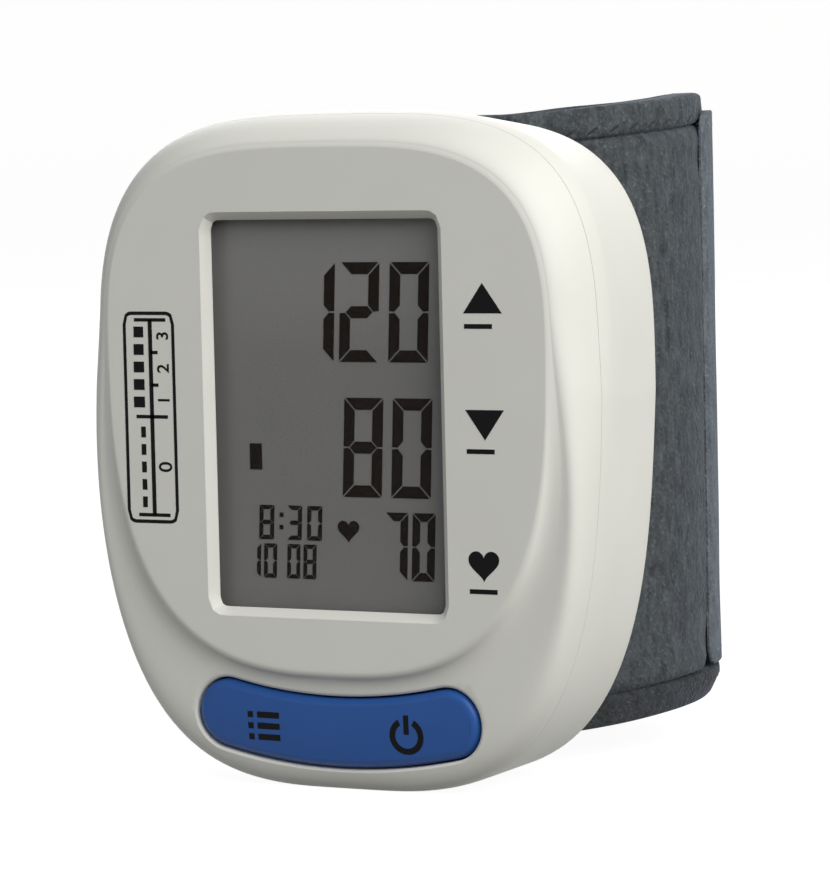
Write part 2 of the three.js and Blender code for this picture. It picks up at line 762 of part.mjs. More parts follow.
function zebraStrip() {
  return block(-zebraLength / 2, zebraLength / 2, glassBackDepth + layerGap, onBoardFront,
    zebraUp - zebraHeight / 2, zebraUp + zebraHeight / 2);
}

// Key bar: crowned and tilted to follow the shell, with a flange and a snap lug behind it
function barFront(flat) {
  const tilt = barTiltShare * (barLowUp - flat.y);
  return barFrontDepth + tilt + barCrownHeight * (flat.x / barHalfLength) ** 2;
}

function keyBar() {
  const softCorner = 1 - Math.SQRT1_2;
  const level = (grow, sink) => barOutline(grow).map((flat) => at(flat, barFront(flat) + sink));
  const back = barOutline(0).map((flat) => at(flat, barFlangeDepth + barFlangeThickness / 2));
  const loops = [
    level(-barEdgeRadius, 0),
    level(-barEdgeRadius * softCorner, barEdgeRadius * softCorner),
    level(0, barEdgeRadius),
    back,
  ];
  const body = loft(loops, [barOutline(-barEdgeRadius), barOutline(0)]);
  const flangeBack = barFlangeDepth + barFlangeThickness;
  const flange = plate(barOutline(barFlangeReach + barFit), barFlangeDepth, flangeBack)
    .intersect(plate(ovalOutline(caseOval, -barFlangeInset), barFlangeDepth - overrun, flangeBack + overrun));
  const lugBack = pivotPinDepth + pivotPinRadius + pivotFit;
  const lug = block(-barLugHalfWidth, barLugHalfWidth, barFlangeDepth, lugBack,
    barLowUp - barLugHalfHeight, barLowUp + barLugHalfHeight);
  const snapBore = rodUpright(pivotPinRadius + pivotFit, 0, pivotPinDepth,
    barLowUp - barHalfHeight, barLowUp + barHalfHeight, smallSides);
  const mouth = block(-pivotMouthWidth / 2, pivotMouthWidth / 2, pivotPinDepth, lugBack + overrun,
    barLowUp - barHalfHeight, barLowUp + barHalfHeight);
  return unite(body, flange, lug.subtract(unite(snapBore, mouth)));
}

function pivotBracket() {
  const inner = barLugHalfHeight + clearance;
  const outer = inner + pivotEarHeight;
  const earFront = barFlangeDepth + barFlangeThickness + clearance;
  const base = block(-barLugHalfWidth, barLugHalfWidth, onBoardFront - pivotBaseThickness, onBoardFront,
    barLowUp - outer, barLowUp + outer);
  const ears = [-1, 1].map((side) => block(-barLugHalfWidth, barLugHalfWidth, earFront, onBoardFront,
    barLowUp + Math.min(side * inner, side * outer), barLowUp + Math.max(side * inner, side * outer)));
  const pin = rodUpright(pivotPinRadius, 0, pivotPinDepth, barLowUp - outer, barLowUp + outer, smallSides);
  return unite(base, ears, pin);
}

// Circuit board and its parts
function circuitBoard() {
  const bossHoles = caseBosses.map(([x, z]) => rodAlongDepth(bossRadius + 2 * clearance, x, z,
    boardFrontDepth - overrun, boardBackDepth + overrun, roundSides));
  const screwHoles = boardBosses.map(([x, z]) => rodAlongDepth(boardScrewRadius + screwFit, x, z,
    boardFrontDepth - overrun, boardBackDepth + overrun, smallSides));
  return plate(ovalOutline(caseOval, -boardInset), boardFrontDepth, boardBackDepth)
    .subtract(unite(bossHoles, screwHoles));
}

function tactSwitch(side) {
  const x = side * switchAcross;
  const drop = barSagRadius - Math.sqrt(barSagRadius ** 2 - switchAcross ** 2);
  const z = barLowUp + drop;
  const top = onBoardFront - switchHeight;
  const can = block(x - switchSize / 2, x + switchSize / 2, top, onBoardFront,
    z - switchSize / 2, z + switchSize / 2);
  return can.add(rodAlongDepth(switchPlungerRadius, x, z, top - switchPlungerHeight, onBoardFront - clearance,
    smallSides));
}

function mainChip() {
  const half = chipSize / 2;
  const body = block(-half, half, onBoardFront - chipHeight, onBoardFront, -half, half);
  const pitch = chipSize / chipPinCount;
  const pins = Array.from({ length: chipPinCount }, (_, i) => {
    const z = -half + (i + 1 / 2) * pitch;
    return block(-half - chipPinReach, half + chipPinReach, onBoardFront - chipPinHeight, onBoardFront,
      z - chipPinWidth / 2, z + chipPinWidth / 2);
  });
  return unite(body, pins);
}

function buzzer() {
  const can = rodAlongDepth(buzzerRadius, buzzerAcross, buzzerUp, onBoardBack, onBoardBack + buzzerHeight);
  const port = rodAlongDepth(buzzerHoleRadius, buzzerAcross, buzzerUp, onBoardBack + buzzerHeight / 2,
    onBoardBack + buzzerHeight + overrun, smallSides);
  return can.subtract(port);
}

// Batteries: two cells side by side, one turned over, between coil springs and contact plates
function cell(x, bottom, nubUp) {
  const profile = [
    [0, 0], [cellRadius - cellShoulder, 0], [cellRadius, cellShoulder],
    [cellRadius, cellLength - cellShoulder], [cellRadius - cellShoulder, cellLength],
    [cellNubRadius, cellLength], [cellNubRadius, cellLength + cellNubHeight], [0, cellLength + cellNubHeight],
  ];
  const whole = cellLength + cellNubHeight;
  const placed = profile.map(([r, h]) => [r, bottom + (nubUp ? h : whole - h)]);
  return turnedUpright(nubUp ? placed : placed.reverse(), x, cellDepth, roundSides);
}

class SpringPath extends THREE.Curve {
  constructor(x, y, wideUp, narrowUp) {
    super();
    Object.assign(this, { x, y, wideUp, narrowUp });
  }

  getPoint(share, target = new THREE.Vector3()) {
    const angle = 2 * Math.PI * springTurns * share;
    const radius = lerp(springRadius, springTopRadius, share);
    return target.set(this.x + radius * Math.cos(angle), this.y + radius * Math.sin(angle),
      lerp(this.wideUp, this.narrowUp, share));
  }
}

function contactSpring(x, wideUp, narrowUp) {
  const wire = new THREE.Shape(arcPoints(0, 0, springWireRadius, 0, 2 * Math.PI, springSides).slice(0, -1));
  const coil = new THREE.ExtrudeGeometry(wire, {
    steps: Math.round(springTurns * springStepsPerTurn),
    extrudePath: new SpringPath(x, cellDepth, wideUp, narrowUp),
  });
  return solid(coil);
}

function contactPlate(x0, x1, z0, z1) {
  return block(x0 - contactHalfWidth, x1 + contactHalfWidth, cellDepth - contactHalfDepth,
    cellDepth + contactHalfDepth, z0, z1);
}

// Pump: motor, shaft with its eccentric, and the head that it drives
const motorTopUp = motorBottomUp + motorLength;
const headBottomUp = motorTopUp + motorNeckHeight + clearance;
const headTopUp = headBottomUp + headHeight;

function pumpMotor() {
  const profile = [
    [shaftRadius + pivotFit, motorTopUp + motorNeckHeight - shaftBuried],
    [shaftRadius + pivotFit, motorTopUp + motorNeckHeight],
    [motorNeckRadius, motorTopUp + motorNeckHeight], [motorNeckRadius, motorTopUp],
    [motorRadius - cellShoulder, motorTopUp], [motorRadius, motorTopUp - cellShoulder],
    [motorRadius, motorBottomUp + cellShoulder], [motorRadius - cellShoulder, motorBottomUp],
    [0, motorBottomUp], [0, motorTopUp + motorNeckHeight - shaftBuried],
  ];
  const can = turnedUpright([...profile, profile[0]].reverse(), pumpAcross, pumpDepth);
  const flats = [-1, 1].map((side) => {
    const face = pumpAcross + side * (motorRadius - motorFlat);
    return block(Math.min(face, face + side * motorRadius), Math.max(face, face + side * motorRadius),
      pumpDepth - motorRadius, pumpDepth + motorRadius, motorBottomUp - overrun, motorTopUp + overrun);
  });
  return can.subtract(unite(flats));
}

function pumpShaft() {
  const bottom = motorTopUp + motorNeckHeight - shaftBuried + clearance;
  const camBottom = headBottomUp + headWall;
  const shaft = rodUpright(shaftRadius, pumpAcross, pumpDepth, bottom, camBottom + eccentricHeight,
    smallSides);
  return shaft.add(rodUpright(eccentricRadius, pumpAcross + eccentricThrow, pumpDepth, camBottom,
    camBottom + eccentricHeight, roundSides));
}

function pumpHead() {
  const outline = roundedRectangle(headWidth, headDepth, headCornerRadius);
  const upright = (points, bottom, top) => {
    const slab = new THREE.ExtrudeGeometry(new THREE.Shape(points), {
      depth: top - bottom, bevelEnabled: false, steps: 1,
    });
    return solid(slab.translate(pumpAcross, pumpDepth, bottom));
  };
  const seams = Array.from({ length: headSeamCount }, (_, i) => {
    const z = headBottomUp + ((i + 1) * headHeight) / (headSeamCount + 1);
    const groove = upright(roundedRectangle(headWidth + overrun, headDepth + overrun, headCornerRadius),
      z, z + headSeamHeight);
    return groove.subtract(upright(roundedRectangle(headWidth - 2 * headSeamDepth,
      headDepth - 2 * headSeamDepth, headCornerRadius), z - overrun, z + headSeamHeight + overrun));
  });
  const well = rodUpright(headDepth / 2 - headWall, pumpAcross, pumpDepth, headBottomUp - overrun,
    headBottomUp + headWellDepth, roundSides);
  return upright(outline, headBottomUp, headTopUp)
    .subtract(unite(seams))
    .subtract(well)
    .add(nippleUp(pumpAcross, pumpDepth, headTopUp));
}

// A barbed nipple that stands up, with its bore
function nippleUp(x, y, base) {
  const tip = base + nippleLength;
  return turnedUpright([
    [nippleBoreRadius, base], [nippleBoreRadius, tip], [nippleRadius - nippleBarb, tip],
    [nippleRadius, tip - nippleLength / 4], [nippleRadius - nippleBarb, tip - nippleLength / 3],
    [nippleRadius - nippleBarb, base - layerGap], [nippleBoreRadius, base - layerGap],
    [nippleBoreRadius, base],
  ].reverse(), x, y, smallSides);
}

function nippleDown(x, y, base) {
  return nippleUp(0, 0, 0).mirror([0, 0, 1]).translate([x, y, base]);
}

function hose(x, y, bottom, top) {
  const inner = nippleRadius + hoseFit;
  return rodUpright(inner + hoseWall, x, y, bottom, top, smallSides)
    .subtract(rodUpright(inner, x, y, bottom - overrun, top + overrun, smallSides));
}

function exhaustValve() {
  const top = valveBottomUp + valveLength;
  const coil = rodUpright(valveRadius - valveYokeInset, valveAcross, pumpDepth, valveBottomUp, top);
  const yokes = [valveBottomUp, top - valveYokeHeight].map((z) => rodUpright(valveRadius, valveAcross,
    pumpDepth, z, z + valveYokeHeight));
  return unite(coil, yokes, nippleUp(valveAcross, pumpDepth, top));
}

function pressureSensor() {
  const half = sensorSize / 2;
  const top = sensorBottomUp + sensorSize;
  return block(sensorAcross - half, sensorAcross + half, onBoardBack, onBoardBack + sensorHeight,
    sensorBottomUp, top).add(nippleUp(sensorAcross, sensorNippleDepth, top));
}

function airManifold() {
  const bottom = manifoldUp - manifoldHalfHeight;
  const body = block(-manifoldEndMargin, valveAcross + manifoldEndMargin, manifoldFrontDepth,
    manifoldBackDepth, bottom, manifoldUp + manifoldHalfHeight);
  const legs = [
    nippleDown(pumpAcross, pumpDepth, bottom),
    nippleDown(valveAcross, pumpDepth, bottom),
    nippleDown(sensorAcross, sensorNippleDepth, bottom),
  ];
  const spigot = rodAlongDepth(nippleRadius - nippleBarb, 0, manifoldUp, manifoldBackDepth - overrun,
    manifoldBackDepth + nippleLength, smallSides);
  return unite(body, legs, spigot);
}

function hoseBetween(x, y, lowerBase) {
  return hose(x, y, lowerBase + clearance, manifoldUp - manifoldHalfHeight - clearance);
}

// Fasteners
function caseScrew(x, z) {
  const seat = caseScrewSeatDepth + layerGap;
  return rodAlongDepth(caseScrewRadius, x, z, caseScrewTipDepth, seat + caseScrewHeadHeight / 2, smallSides)
    .add(rodAlongDepth(caseScrewHeadRadius, x, z, seat, seat + caseScrewHeadHeight, roundSides));
}

function boardScrew(x, z) {
  const seat = boardBackDepth + layerGap / 2;
  return rodAlongDepth(boardScrewRadius, x, z, boardScrewDepth, seat + boardScrewHeadHeight / 2, smallSides)
    .add(rodAlongDepth(boardScrewHeadRadius, x, z, seat, seat + boardScrewHeadHeight, smallSides));
}

function stayClip(x, z) {
  const back = saddlePadFront - clearance;
  return rodAlongDepth(clipRadius, x, z, back - clipThickness, back, roundSides)
    .subtract(rodAlongDepth(postRadius + screwFit, x, z, back - clipThickness - overrun, back + overrun,
      smallSides));
}

// Cuff: a profile of [radius, up] pairs carried round the wrist from one angle to another
function ringSweep(profile, from, to) {
  const steps = Math.round(Math.abs(to - from) / ringStepAngle);
  const loops = Array.from({ length: steps + 1 }, (_, i) => {
    const angle = degToRad(lerp(from, to, i / steps));
    return profile.map(([r, z]) => new THREE.Vector3(
      r * Math.cos(angle), ringCentreDepth + r * Math.sin(angle), z));
  });
  const flat = profile.map(([r, z]) => new THREE.Vector2(r, z));
  return loft(loops, [flat, flat]);
}

function band(inner, outer, bottom, top) {
  return [[inner, bottom], [outer, bottom], [outer, top], [inner, top]];
}

function frontRods(radius, grow, places) {
  return unite(places.map(([x, z]) => rodAlongDepth(radius + grow, x, z, postTipDepth - overrun,
    ringCentreDepth - wristRadius, smallSides)));
}

// Outer fabric: a puffed panel between two hems that close over the layers
function cuffOuter() {
  const [bottom, top] = [cuffBottomUp, cuffTopUp];
  const softCorner = hemCornerRadius * (1 - Math.SQRT1_2);
  const lowerEdge = [
    [wristRadius, bottom + hemCornerRadius], [wristRadius + hemCornerRadius, bottom],
    [hemRadius - hemCornerRadius, bottom], [hemRadius - softCorner, bottom + softCorner],
    [hemRadius, bottom + hemCornerRadius], [hemRadius, bottom + hemHeight - seamWidth / 2],
    [hemRadius - seamDepth, bottom + hemHeight], [panelRadius, bottom + hemHeight + seamWidth],
    [panelMiddleRadius, bottom + hemHeight + panelShoulder],
  ];
  const upperEdge = lowerEdge.map(([r, z]) => [r, bottom + top - z]).reverse();
  const inside = [
    [wristRadius, top - hemHeight], [wallInnerRadius, top - hemHeight],
    [wallInnerRadius, bottom + hemHeight], [wristRadius, bottom + hemHeight],
  ];
  return ringSweep([...lowerEdge, ...upperEdge, ...inside], ringInnerEndAngle, ringOuterEndAngle)
    .subtract(frontRods(postRadius, postFit, posts))
    .subtract(frontRods(bladderTubeRadius, postFit, [[0, manifoldUp]]));
}

function cuffLining() {
  return ringSweep(band(wristRadius, wristRadius + liningThickness,
    cuffBottomUp + hemHeight + layerGap, cuffTopUp - hemHeight - layerGap),
  ringInnerEndAngle - liningEndAngle, ringOuterEndAngle + liningEndAngle);
}

function cuffBladder() {
  const front = ringCentreDepth - bladderInnerRadius - bladderThickness / 2;
  const pad = ringSweep(band(bladderInnerRadius, bladderInnerRadius + bladderThickness,
    cuffBottomUp + hemHeight + bladderMargin, cuffTopUp - hemHeight - bladderMargin),
  ringFrontAngle - bladderHalfAngle, ringFrontAngle + bladderHalfAngle);
  const tube = rodAlongDepth(bladderTubeRadius, 0, manifoldUp, bladderTubeTipDepth, front, smallSides);
  const bore = rodAlongDepth(nippleRadius + hoseFit, 0, manifoldUp, bladderTubeTipDepth - overrun,
    front, smallSides);
  return pad.add(tube.subtract(bore));
}

function cuffStay() {
  const front = ringCentreDepth - stayInnerRadius - stayThickness / 2;
  const sheet = ringSweep(band(stayInnerRadius, stayInnerRadius + stayThickness,
    cuffBottomUp + hemHeight + stayMargin, cuffTopUp - hemHeight - stayMargin),
  ringFrontAngle - stayHalfAngle, ringFrontAngle + stayHalfAngle);
  const pegs = posts.map(([x, z]) => rodAlongDepth(postRadius, x, z, postTipDepth, front, smallSides));
  return unite(sheet.subtract(frontRods(bladderTubeRadius, postFit, [[0, manifoldUp]])), pegs);
}

function cuffFlap() {
  const [bottom, top] = [cuffBottomUp + flapBottomInset, cuffTopUp - flapTopInset];
  const c = flapEdgeChamfer;
  return ringSweep([
    [flapInnerRadius + c, bottom], [flapOuterRadius - c, bottom], [flapOuterRadius, bottom + c],
    [flapOuterRadius, top - c], [flapOuterRadius - c, top], [flapInnerRadius + c, top],
    [flapInnerRadius, top - c], [flapInnerRadius, bottom + c],
  ], flapRootAngle, flapEndAngle);
}

function hookPatch() {
  const outer = flapInnerRadius - layerGap / 2;
  return ringSweep(band(outer - patchThickness, outer, cuffBottomUp + flapBottomInset + patchInset,
    cuffTopUp - flapTopInset - patchInset), patchRootAngle, patchEndAngle);
}

// Assembly
const monitor = new THREE.Group();
monitor.name = 'wrist_blood_pressure_monitor';
monitor.position.set(0, -overallDepth / 2, caseFootDrop);

function put(name, body, material) {
  const mesh = new THREE.Mesh(geometryOf(body), material);
  mesh.name = name;
  monitor.add(mesh);
}

put('front_shell', frontShell(), warmWhiteAbs());
put('rear_shell', rearShell(), warmWhiteAbs());
put('battery_cover', batteryCover(), warmWhiteAbs());
put('display_window', displayWindow(), clearAcrylic());
put('lcd_glass', lcdGlass(), lcdGrey());
put('lcd_frame', lcdFrame(), naturalPlastic());
put('zebra_strip', zebraStrip(), rubber());
put('button_bar', keyBar(), blueAbs());
put('button_pivot_bracket', pivotBracket(), naturalPlastic());
put('tact_switch_left', tactSwitch(-1), steel());
put('tact_switch_right', tactSwitch(1), steel());
put('circuit_board', circuitBoard(), greenBoard());
put('main_chip', mainChip(), darkPlastic());
put('buzzer', buzzer(), darkPlastic());

const outerCellBottom = lowerCellEnd + springLength;
put('battery_outer', cell(outerCellAcross, outerCellBottom, true), cellJacket());
put('battery_inner', cell(innerCellAcross, lowerCellEnd, false), cellJacket());
put('contact_spring_outer', contactSpring(outerCellAcross, lowerCellEnd + springWireRadius,
  outerCellBottom - springWireRadius - clearance), steel());
put('contact_spring_inner', contactSpring(innerCellAcross, upperCellEnd - springWireRadius,
  upperCellEnd - springLength + springWireRadius + clearance), steel());
put('contact_plate_top', contactPlate(outerCellAcross, innerCellAcross, upperCellEnd + clearance,
  upperCellEnd + clearance + contactThickness), steel());
put('contact_plate_bottom_outer', contactPlate(outerCellAcross, outerCellAcross,
  lowerCellEnd - clearance - contactThickness, lowerCellEnd - clearance), steel());
put('contact_plate_bottom_inner', contactPlate(innerCellAcross, innerCellAcross,
  lowerCellEnd - clearance - contactThickness, lowerCellEnd - clearance), steel());

put('pump_motor', pumpMotor(), steel());
put('pump_shaft', pumpShaft(), steel());
put('pump_head', pumpHead(), naturalPlastic());
put('exhaust_valve', exhaustValve(), steel());
put('pressure_sensor', pressureSensor(), naturalPlastic());
put('air_manifold', airManifold(), naturalPlastic());
put('hose_pump', hoseBetween(pumpAcross, pumpDepth, headTopUp), siliconeHose());
put('hose_valve', hoseBetween(valveAcross, pumpDepth, valveBottomUp + valveLength), siliconeHose());
put('hose_sensor', hoseBetween(sensorAcross, sensorNippleDepth, sensorBottomUp + sensorSize), siliconeHose());

caseBosses.forEach(([x, z], i) => put(`case_screw_${i + 1}`, caseScrew(x, z), steel()));
boardBosses.forEach(([x, z], i) => put(`board_screw_${i + 1}`, boardScrew(x, z), steel()));

put('cuff_outer', cuffOuter(), slateFabric());
put('cuff_lining', cuffLining(), liningFabric());
put('cuff_bladder', cuffBladder(), rubber());
put('cuff_stay', cuffStay(), staySheet());
posts.forEach(([x, z], i) => put(`stay_clip_${i + 1}`, stayClip(x, z), steel()));
put('cuff_flap', cuffFlap(), slateFabric());
put('hook_patch', hookPatch(), darkPlastic());

export default monitor;
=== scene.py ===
import math

import bmesh
import bpy
from mathutils import Matrix, Vector, noise
from mathutils.bvhtree import BVHTree


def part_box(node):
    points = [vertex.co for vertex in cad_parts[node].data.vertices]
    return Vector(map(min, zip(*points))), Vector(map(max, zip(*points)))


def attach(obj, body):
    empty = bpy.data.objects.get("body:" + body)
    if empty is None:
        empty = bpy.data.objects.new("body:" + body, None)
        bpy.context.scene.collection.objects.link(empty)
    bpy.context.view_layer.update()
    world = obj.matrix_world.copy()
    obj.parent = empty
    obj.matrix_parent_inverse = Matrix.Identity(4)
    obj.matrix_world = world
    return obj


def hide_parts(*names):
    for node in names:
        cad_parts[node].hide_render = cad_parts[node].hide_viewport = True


# Wrist blood pressure monitor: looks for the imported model.
# Shapes are drawn in millimetres as (right, depth behind the raised face, up from the display's middle),
# and toFrame turns them into the frame's metres.

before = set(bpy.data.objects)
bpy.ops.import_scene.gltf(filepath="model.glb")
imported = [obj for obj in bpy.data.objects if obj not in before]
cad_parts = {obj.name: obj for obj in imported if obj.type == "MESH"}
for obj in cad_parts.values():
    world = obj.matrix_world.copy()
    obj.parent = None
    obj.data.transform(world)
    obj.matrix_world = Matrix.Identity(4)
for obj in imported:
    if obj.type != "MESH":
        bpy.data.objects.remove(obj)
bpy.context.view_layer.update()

halfDepth = 37.35
footBelowDisplay = 44.6
toFrame = Matrix.Scale(0.001, 4) @ Matrix.Translation((0, -halfDepth, footBelowDisplay))
fromFrame = toFrame.inverted()
far = 80  # past every side of the case, for cuts that run through it

# small helpers: numbers, meshes, booleans


def mix(a, b, share):
    return a + (b - a) * share


def smoothStep(value, low, high):
    share = min(1, max(0, (value - low) / (high - low)))
    return share * share * (3 - 2 * share)


def vertsOf(made):
    return [g for g in made if isinstance(g, bmesh.types.BMVert)]


def sweep(stations, pointAt, steps, capStart=True, capEnd=True):
    # a closed loop carried through the stations; pointAt(share of the loop, station) gives each place
    bm = bmesh.new()
    along = bm.verts.layers.float.new("along")
    ring = bmesh.ops.create_circle(bm, segments=steps, radius=1)["verts"]
    for i, v in enumerate(ring):
        v[along] = i / steps
        v.co = pointAt(v[along], stations[0])
    edges = bm.edges[:]
    firstEdges = edges
    for station in stations[1:]:
        made = bmesh.ops.extrude_edge_only(bm, edges=edges)["geom"]
        ring = vertsOf(made)
        for v in ring:
            v.co = pointAt(v[along], station)
        inside = set(ring)
        edges = [g for g in made if isinstance(g, bmesh.types.BMEdge)
                 and g.verts[0] in inside and g.verts[1] in inside]
    if capStart:
        bmesh.ops.contextual_create(bm, geom=firstEdges)
    if capEnd:
        bmesh.ops.contextual_create(bm, geom=edges)
    bmesh.ops.recalc_face_normals(bm, faces=bm.faces[:])
    return bm


def roundedBlock(low, high, radius=0.0, segments=2):
    bm = bmesh.new()
    size = [h - l for l, h in zip(low, high)]
    middle = [(h + l) / 2 for l, h in zip(low, high)]
    bmesh.ops.create_cube(bm, size=1, matrix=Matrix.Translation(middle) @ Matrix.Diagonal((*size, 1)))
    if radius:
        bmesh.ops.bevel(bm, geom=bm.edges[:], affect="EDGES", offset=radius, segments=segments,
                        profile=0.5, material=-1, clamp_overlap=True)
    return bm


def rod(radius, x, z, front, back, segments=48):
    # a round rod along the depth
    bm = bmesh.new()
    place = Matrix.Translation((x, (front + back) / 2, z)) @ Matrix.Rotation(math.radians(-90), 4, "X")
    bmesh.ops.create_cone(bm, cap_ends=True, segments=segments, radius1=radius, radius2=radius,
                          depth=back - front, matrix=place)
    return bm


def uprightRod(radius, x, depth, bottom, top, segments=48):
    bm = bmesh.new()
    bmesh.ops.create_cone(bm, cap_ends=True, segments=segments, radius1=radius, radius2=radius,
                          depth=top - bottom, matrix=Matrix.Translation((x, depth, (bottom + top) / 2)))
    return bm


def joinInto(bm, *others):
    for other in others:
        spare = bpy.data.meshes.new("spare")
        other.to_mesh(spare)
        other.free()
        bm.from_mesh(spare)
        bpy.data.meshes.remove(spare)
    return bm


def objectOf(bm, name):
    mesh = bpy.data.meshes.new(name)
    bm.to_mesh(mesh)
    bm.free()
    made = bpy.data.objects.new(name, mesh)
    bpy.context.scene.collection.objects.link(made)
    return made


def dropObject(unwanted):
    mesh = unwanted.data
    bpy.data.objects.remove(unwanted)
    bpy.data.meshes.remove(mesh)


def combined(bm, steps):
    # exact booleans, worked out at once, so that no modifier stays on the piece
    body = objectOf(bm, "body")
    helpers = []
    for operation, other in steps:
        helper = objectOf(other, "helper")
        cut = body.modifiers.new("cut", "BOOLEAN")
        cut.operation = operation
        cut.solver = "EXACT"
        cut.object = helper
        helpers.append(helper)
    result = bmesh.new()
    result.from_mesh(body.evaluated_get(bpy.context.evaluated_depsgraph_get()).data)
    for unwanted in [body, *helpers]:
        dropObject(unwanted)
    return result


def addPiece(name, bm, material, body, stands=(), sharpAngle=35):
    bmesh.ops.transform(bm, matrix=toFrame, verts=bm.verts[:])
    piece = objectOf(bm, name)
    piece.data.materials.append(material)
    piece.data.shade_smooth()
    piece.data.set_sharp_from_angle(angle=math.radians(sharpAngle))
    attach(piece, body)
    if stands:
        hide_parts(*stands)
    return piece


# materials


def linearColour(code):
    parts = [int(code[i:i + 2], 16) / 255 for i in (1, 3, 5)]
    return (*[c / 12.92 if c <= 0.04045 else ((c + 0.055) / 1.055) ** 2.4 for c in parts], 1)


def perMetre(millimetres):
    # the texture scale at which one pattern cell measures this many millimetres
    return 1000 / millimetres


def addNode(tree, kind, inputs=None, **settings):
    node = tree.nodes.new(kind)
    for name, value in settings.items():
        setattr(node, name, value)
    for socket, value in (inputs or {}).items():
        if isinstance(socket, str):
            socket = next(i for i, s in enumerate(node.inputs) if s.enabled and s.name == socket)
        if isinstance(value, bpy.types.NodeSocket):
            tree.links.new(value, node.inputs[socket])
        else:
            node.inputs[socket].default_value = value
    return node


def startMaterial(name):
    material = bpy.data.materials.new(name)
    material.use_nodes = True
    material.node_tree.nodes.clear()
    return material, material.node_tree


def startPattern(name):
    # a material with the place on the object, in metres, that its patterns are laid by
    material, tree = startMaterial(name)
    return material, tree, addNode(tree, "ShaderNodeTexCoord").outputs["Object"]


def closeMaterial(material, inputs, tones=None, gloss=None, bump=None):
    # tones are (share, tone, other tone), gloss (pattern, least, most), bump (height, strength, metres)
    tree = material.node_tree
    if tones:
        share, tone, other = [linearColour(v) if isinstance(v, str) else v for v in tones]
        tint = addNode(tree, "ShaderNodeMix", {"Factor": share, "A": tone, "B": other}, data_type="RGBA")
        inputs["Base Color"] = tint.outputs[2]
    if gloss:
        rough = addNode(tree, "ShaderNodeMapRange", {"Value": gloss[0], "To Min": gloss[1],
                                                     "To Max": gloss[2]})
        inputs["Roughness"] = rough.outputs["Result"]
    if bump:
        relief = addNode(tree, "ShaderNodeBump", {"Height": bump[0], "Strength": bump[1],
                                                  "Distance": bump[2]})
        inputs["Normal"] = relief.outputs["Normal"]
    surface = addNode(tree, "ShaderNodeBsdfPrincipled", inputs)
    addNode(tree, "ShaderNodeOutputMaterial", {"Surface": surface.outputs["BSDF"]})
    return material


def mouldedPlastic(name, tone, deepTone, roughness, grain=0.18, grainDepth=0.25, shine=0.5):
    # spark-eroded mould texture: a soft satin with faint cloudy shading over some 9 mm
    material, tree, place = startPattern(name)
    cloud = addNode(tree, "ShaderNodeTexNoise", {"Vector": place, "Scale": perMetre(9), "Detail": 2.0})
    fine = addNode(tree, "ShaderNodeTexNoise", {"Vector": place, "Scale": perMetre(grain), "Detail": 3.0})
    return closeMaterial(material, {"IOR": 1.5, "Specular IOR Level": shine},
                         tones=(cloud.outputs["Fac"], tone, deepTone),
                         gloss=(fine.outputs["Fac"], roughness - 0.05, roughness + 0.07),
                         bump=(fine.outputs["Fac"], grainDepth, 0.00002))


def loopFabric(name, tone, darkTone, paleTone, loop=0.7):
    # brushed loop-pile knit that hook tape grips: matte, mottled, a little fuzzy at grazing angles
    material, tree, place = startPattern(name)
    # the pile's tufts are about 0.35 mm, and are drawn coarser than that to show in the render
    tufts = addNode(tree, "ShaderNodeTexVoronoi", {"Vector": place, "Scale": perMetre(loop),
                                                   "Randomness": 0.9})
    patches = addNode(tree, "ShaderNodeTexNoise", {"Vector": place, "Scale": perMetre(2.4), "Detail": 6.0,
                                                   "Roughness": 0.75})
    fuzz = addNode(tree, "ShaderNodeTexNoise", {"Vector": place, "Scale": perMetre(0.45), "Detail": 3.0})
    # the pile lies in short streaks along the height, some 0.9 mm wide
    upright = addNode(tree, "ShaderNodeMapping", {"Vector": place, "Scale": (1, 1, 0.3)})
    streaks = addNode(tree, "ShaderNodeTexNoise", {"Vector": upright.outputs["Vector"],
                                                   "Scale": perMetre(0.9), "Detail": 4.0})
    mixed = addNode(tree, "ShaderNodeMath", {0: patches.outputs["Fac"], 1: streaks.outputs["Fac"]},
                    operation="ADD")
    mottle = addNode(tree, "ShaderNodeMapRange", {"Value": mixed.outputs[0], "From Min": 0.74,
                                                  "From Max": 1.26})
    base = addNode(tree, "ShaderNodeMix", {"Factor": mottle.outputs["Result"], "A": linearColour(darkTone),
                                           "B": linearColour(tone)}, data_type="RGBA")
    speck = addNode(tree, "ShaderNodeMapRange", {"Value": fuzz.outputs["Fac"], "From Min": 0.56,
                                                 "From Max": 0.78, "To Max": 0.7})
    height = addNode(tree, "ShaderNodeMath", {0: tufts.outputs["Distance"], 1: fuzz.outputs["Fac"]},
                     operation="ADD")
    return closeMaterial(material, {"Roughness": 0.92, "Sheen Weight": 0.35, "Sheen Roughness": 0.45,
                                    "Sheen Tint": linearColour("#8E9AAB")},
                         tones=(speck.outputs["Result"], base.outputs[2], paleTone),
                         bump=(height.outputs[0], 0.7, 0.00022))


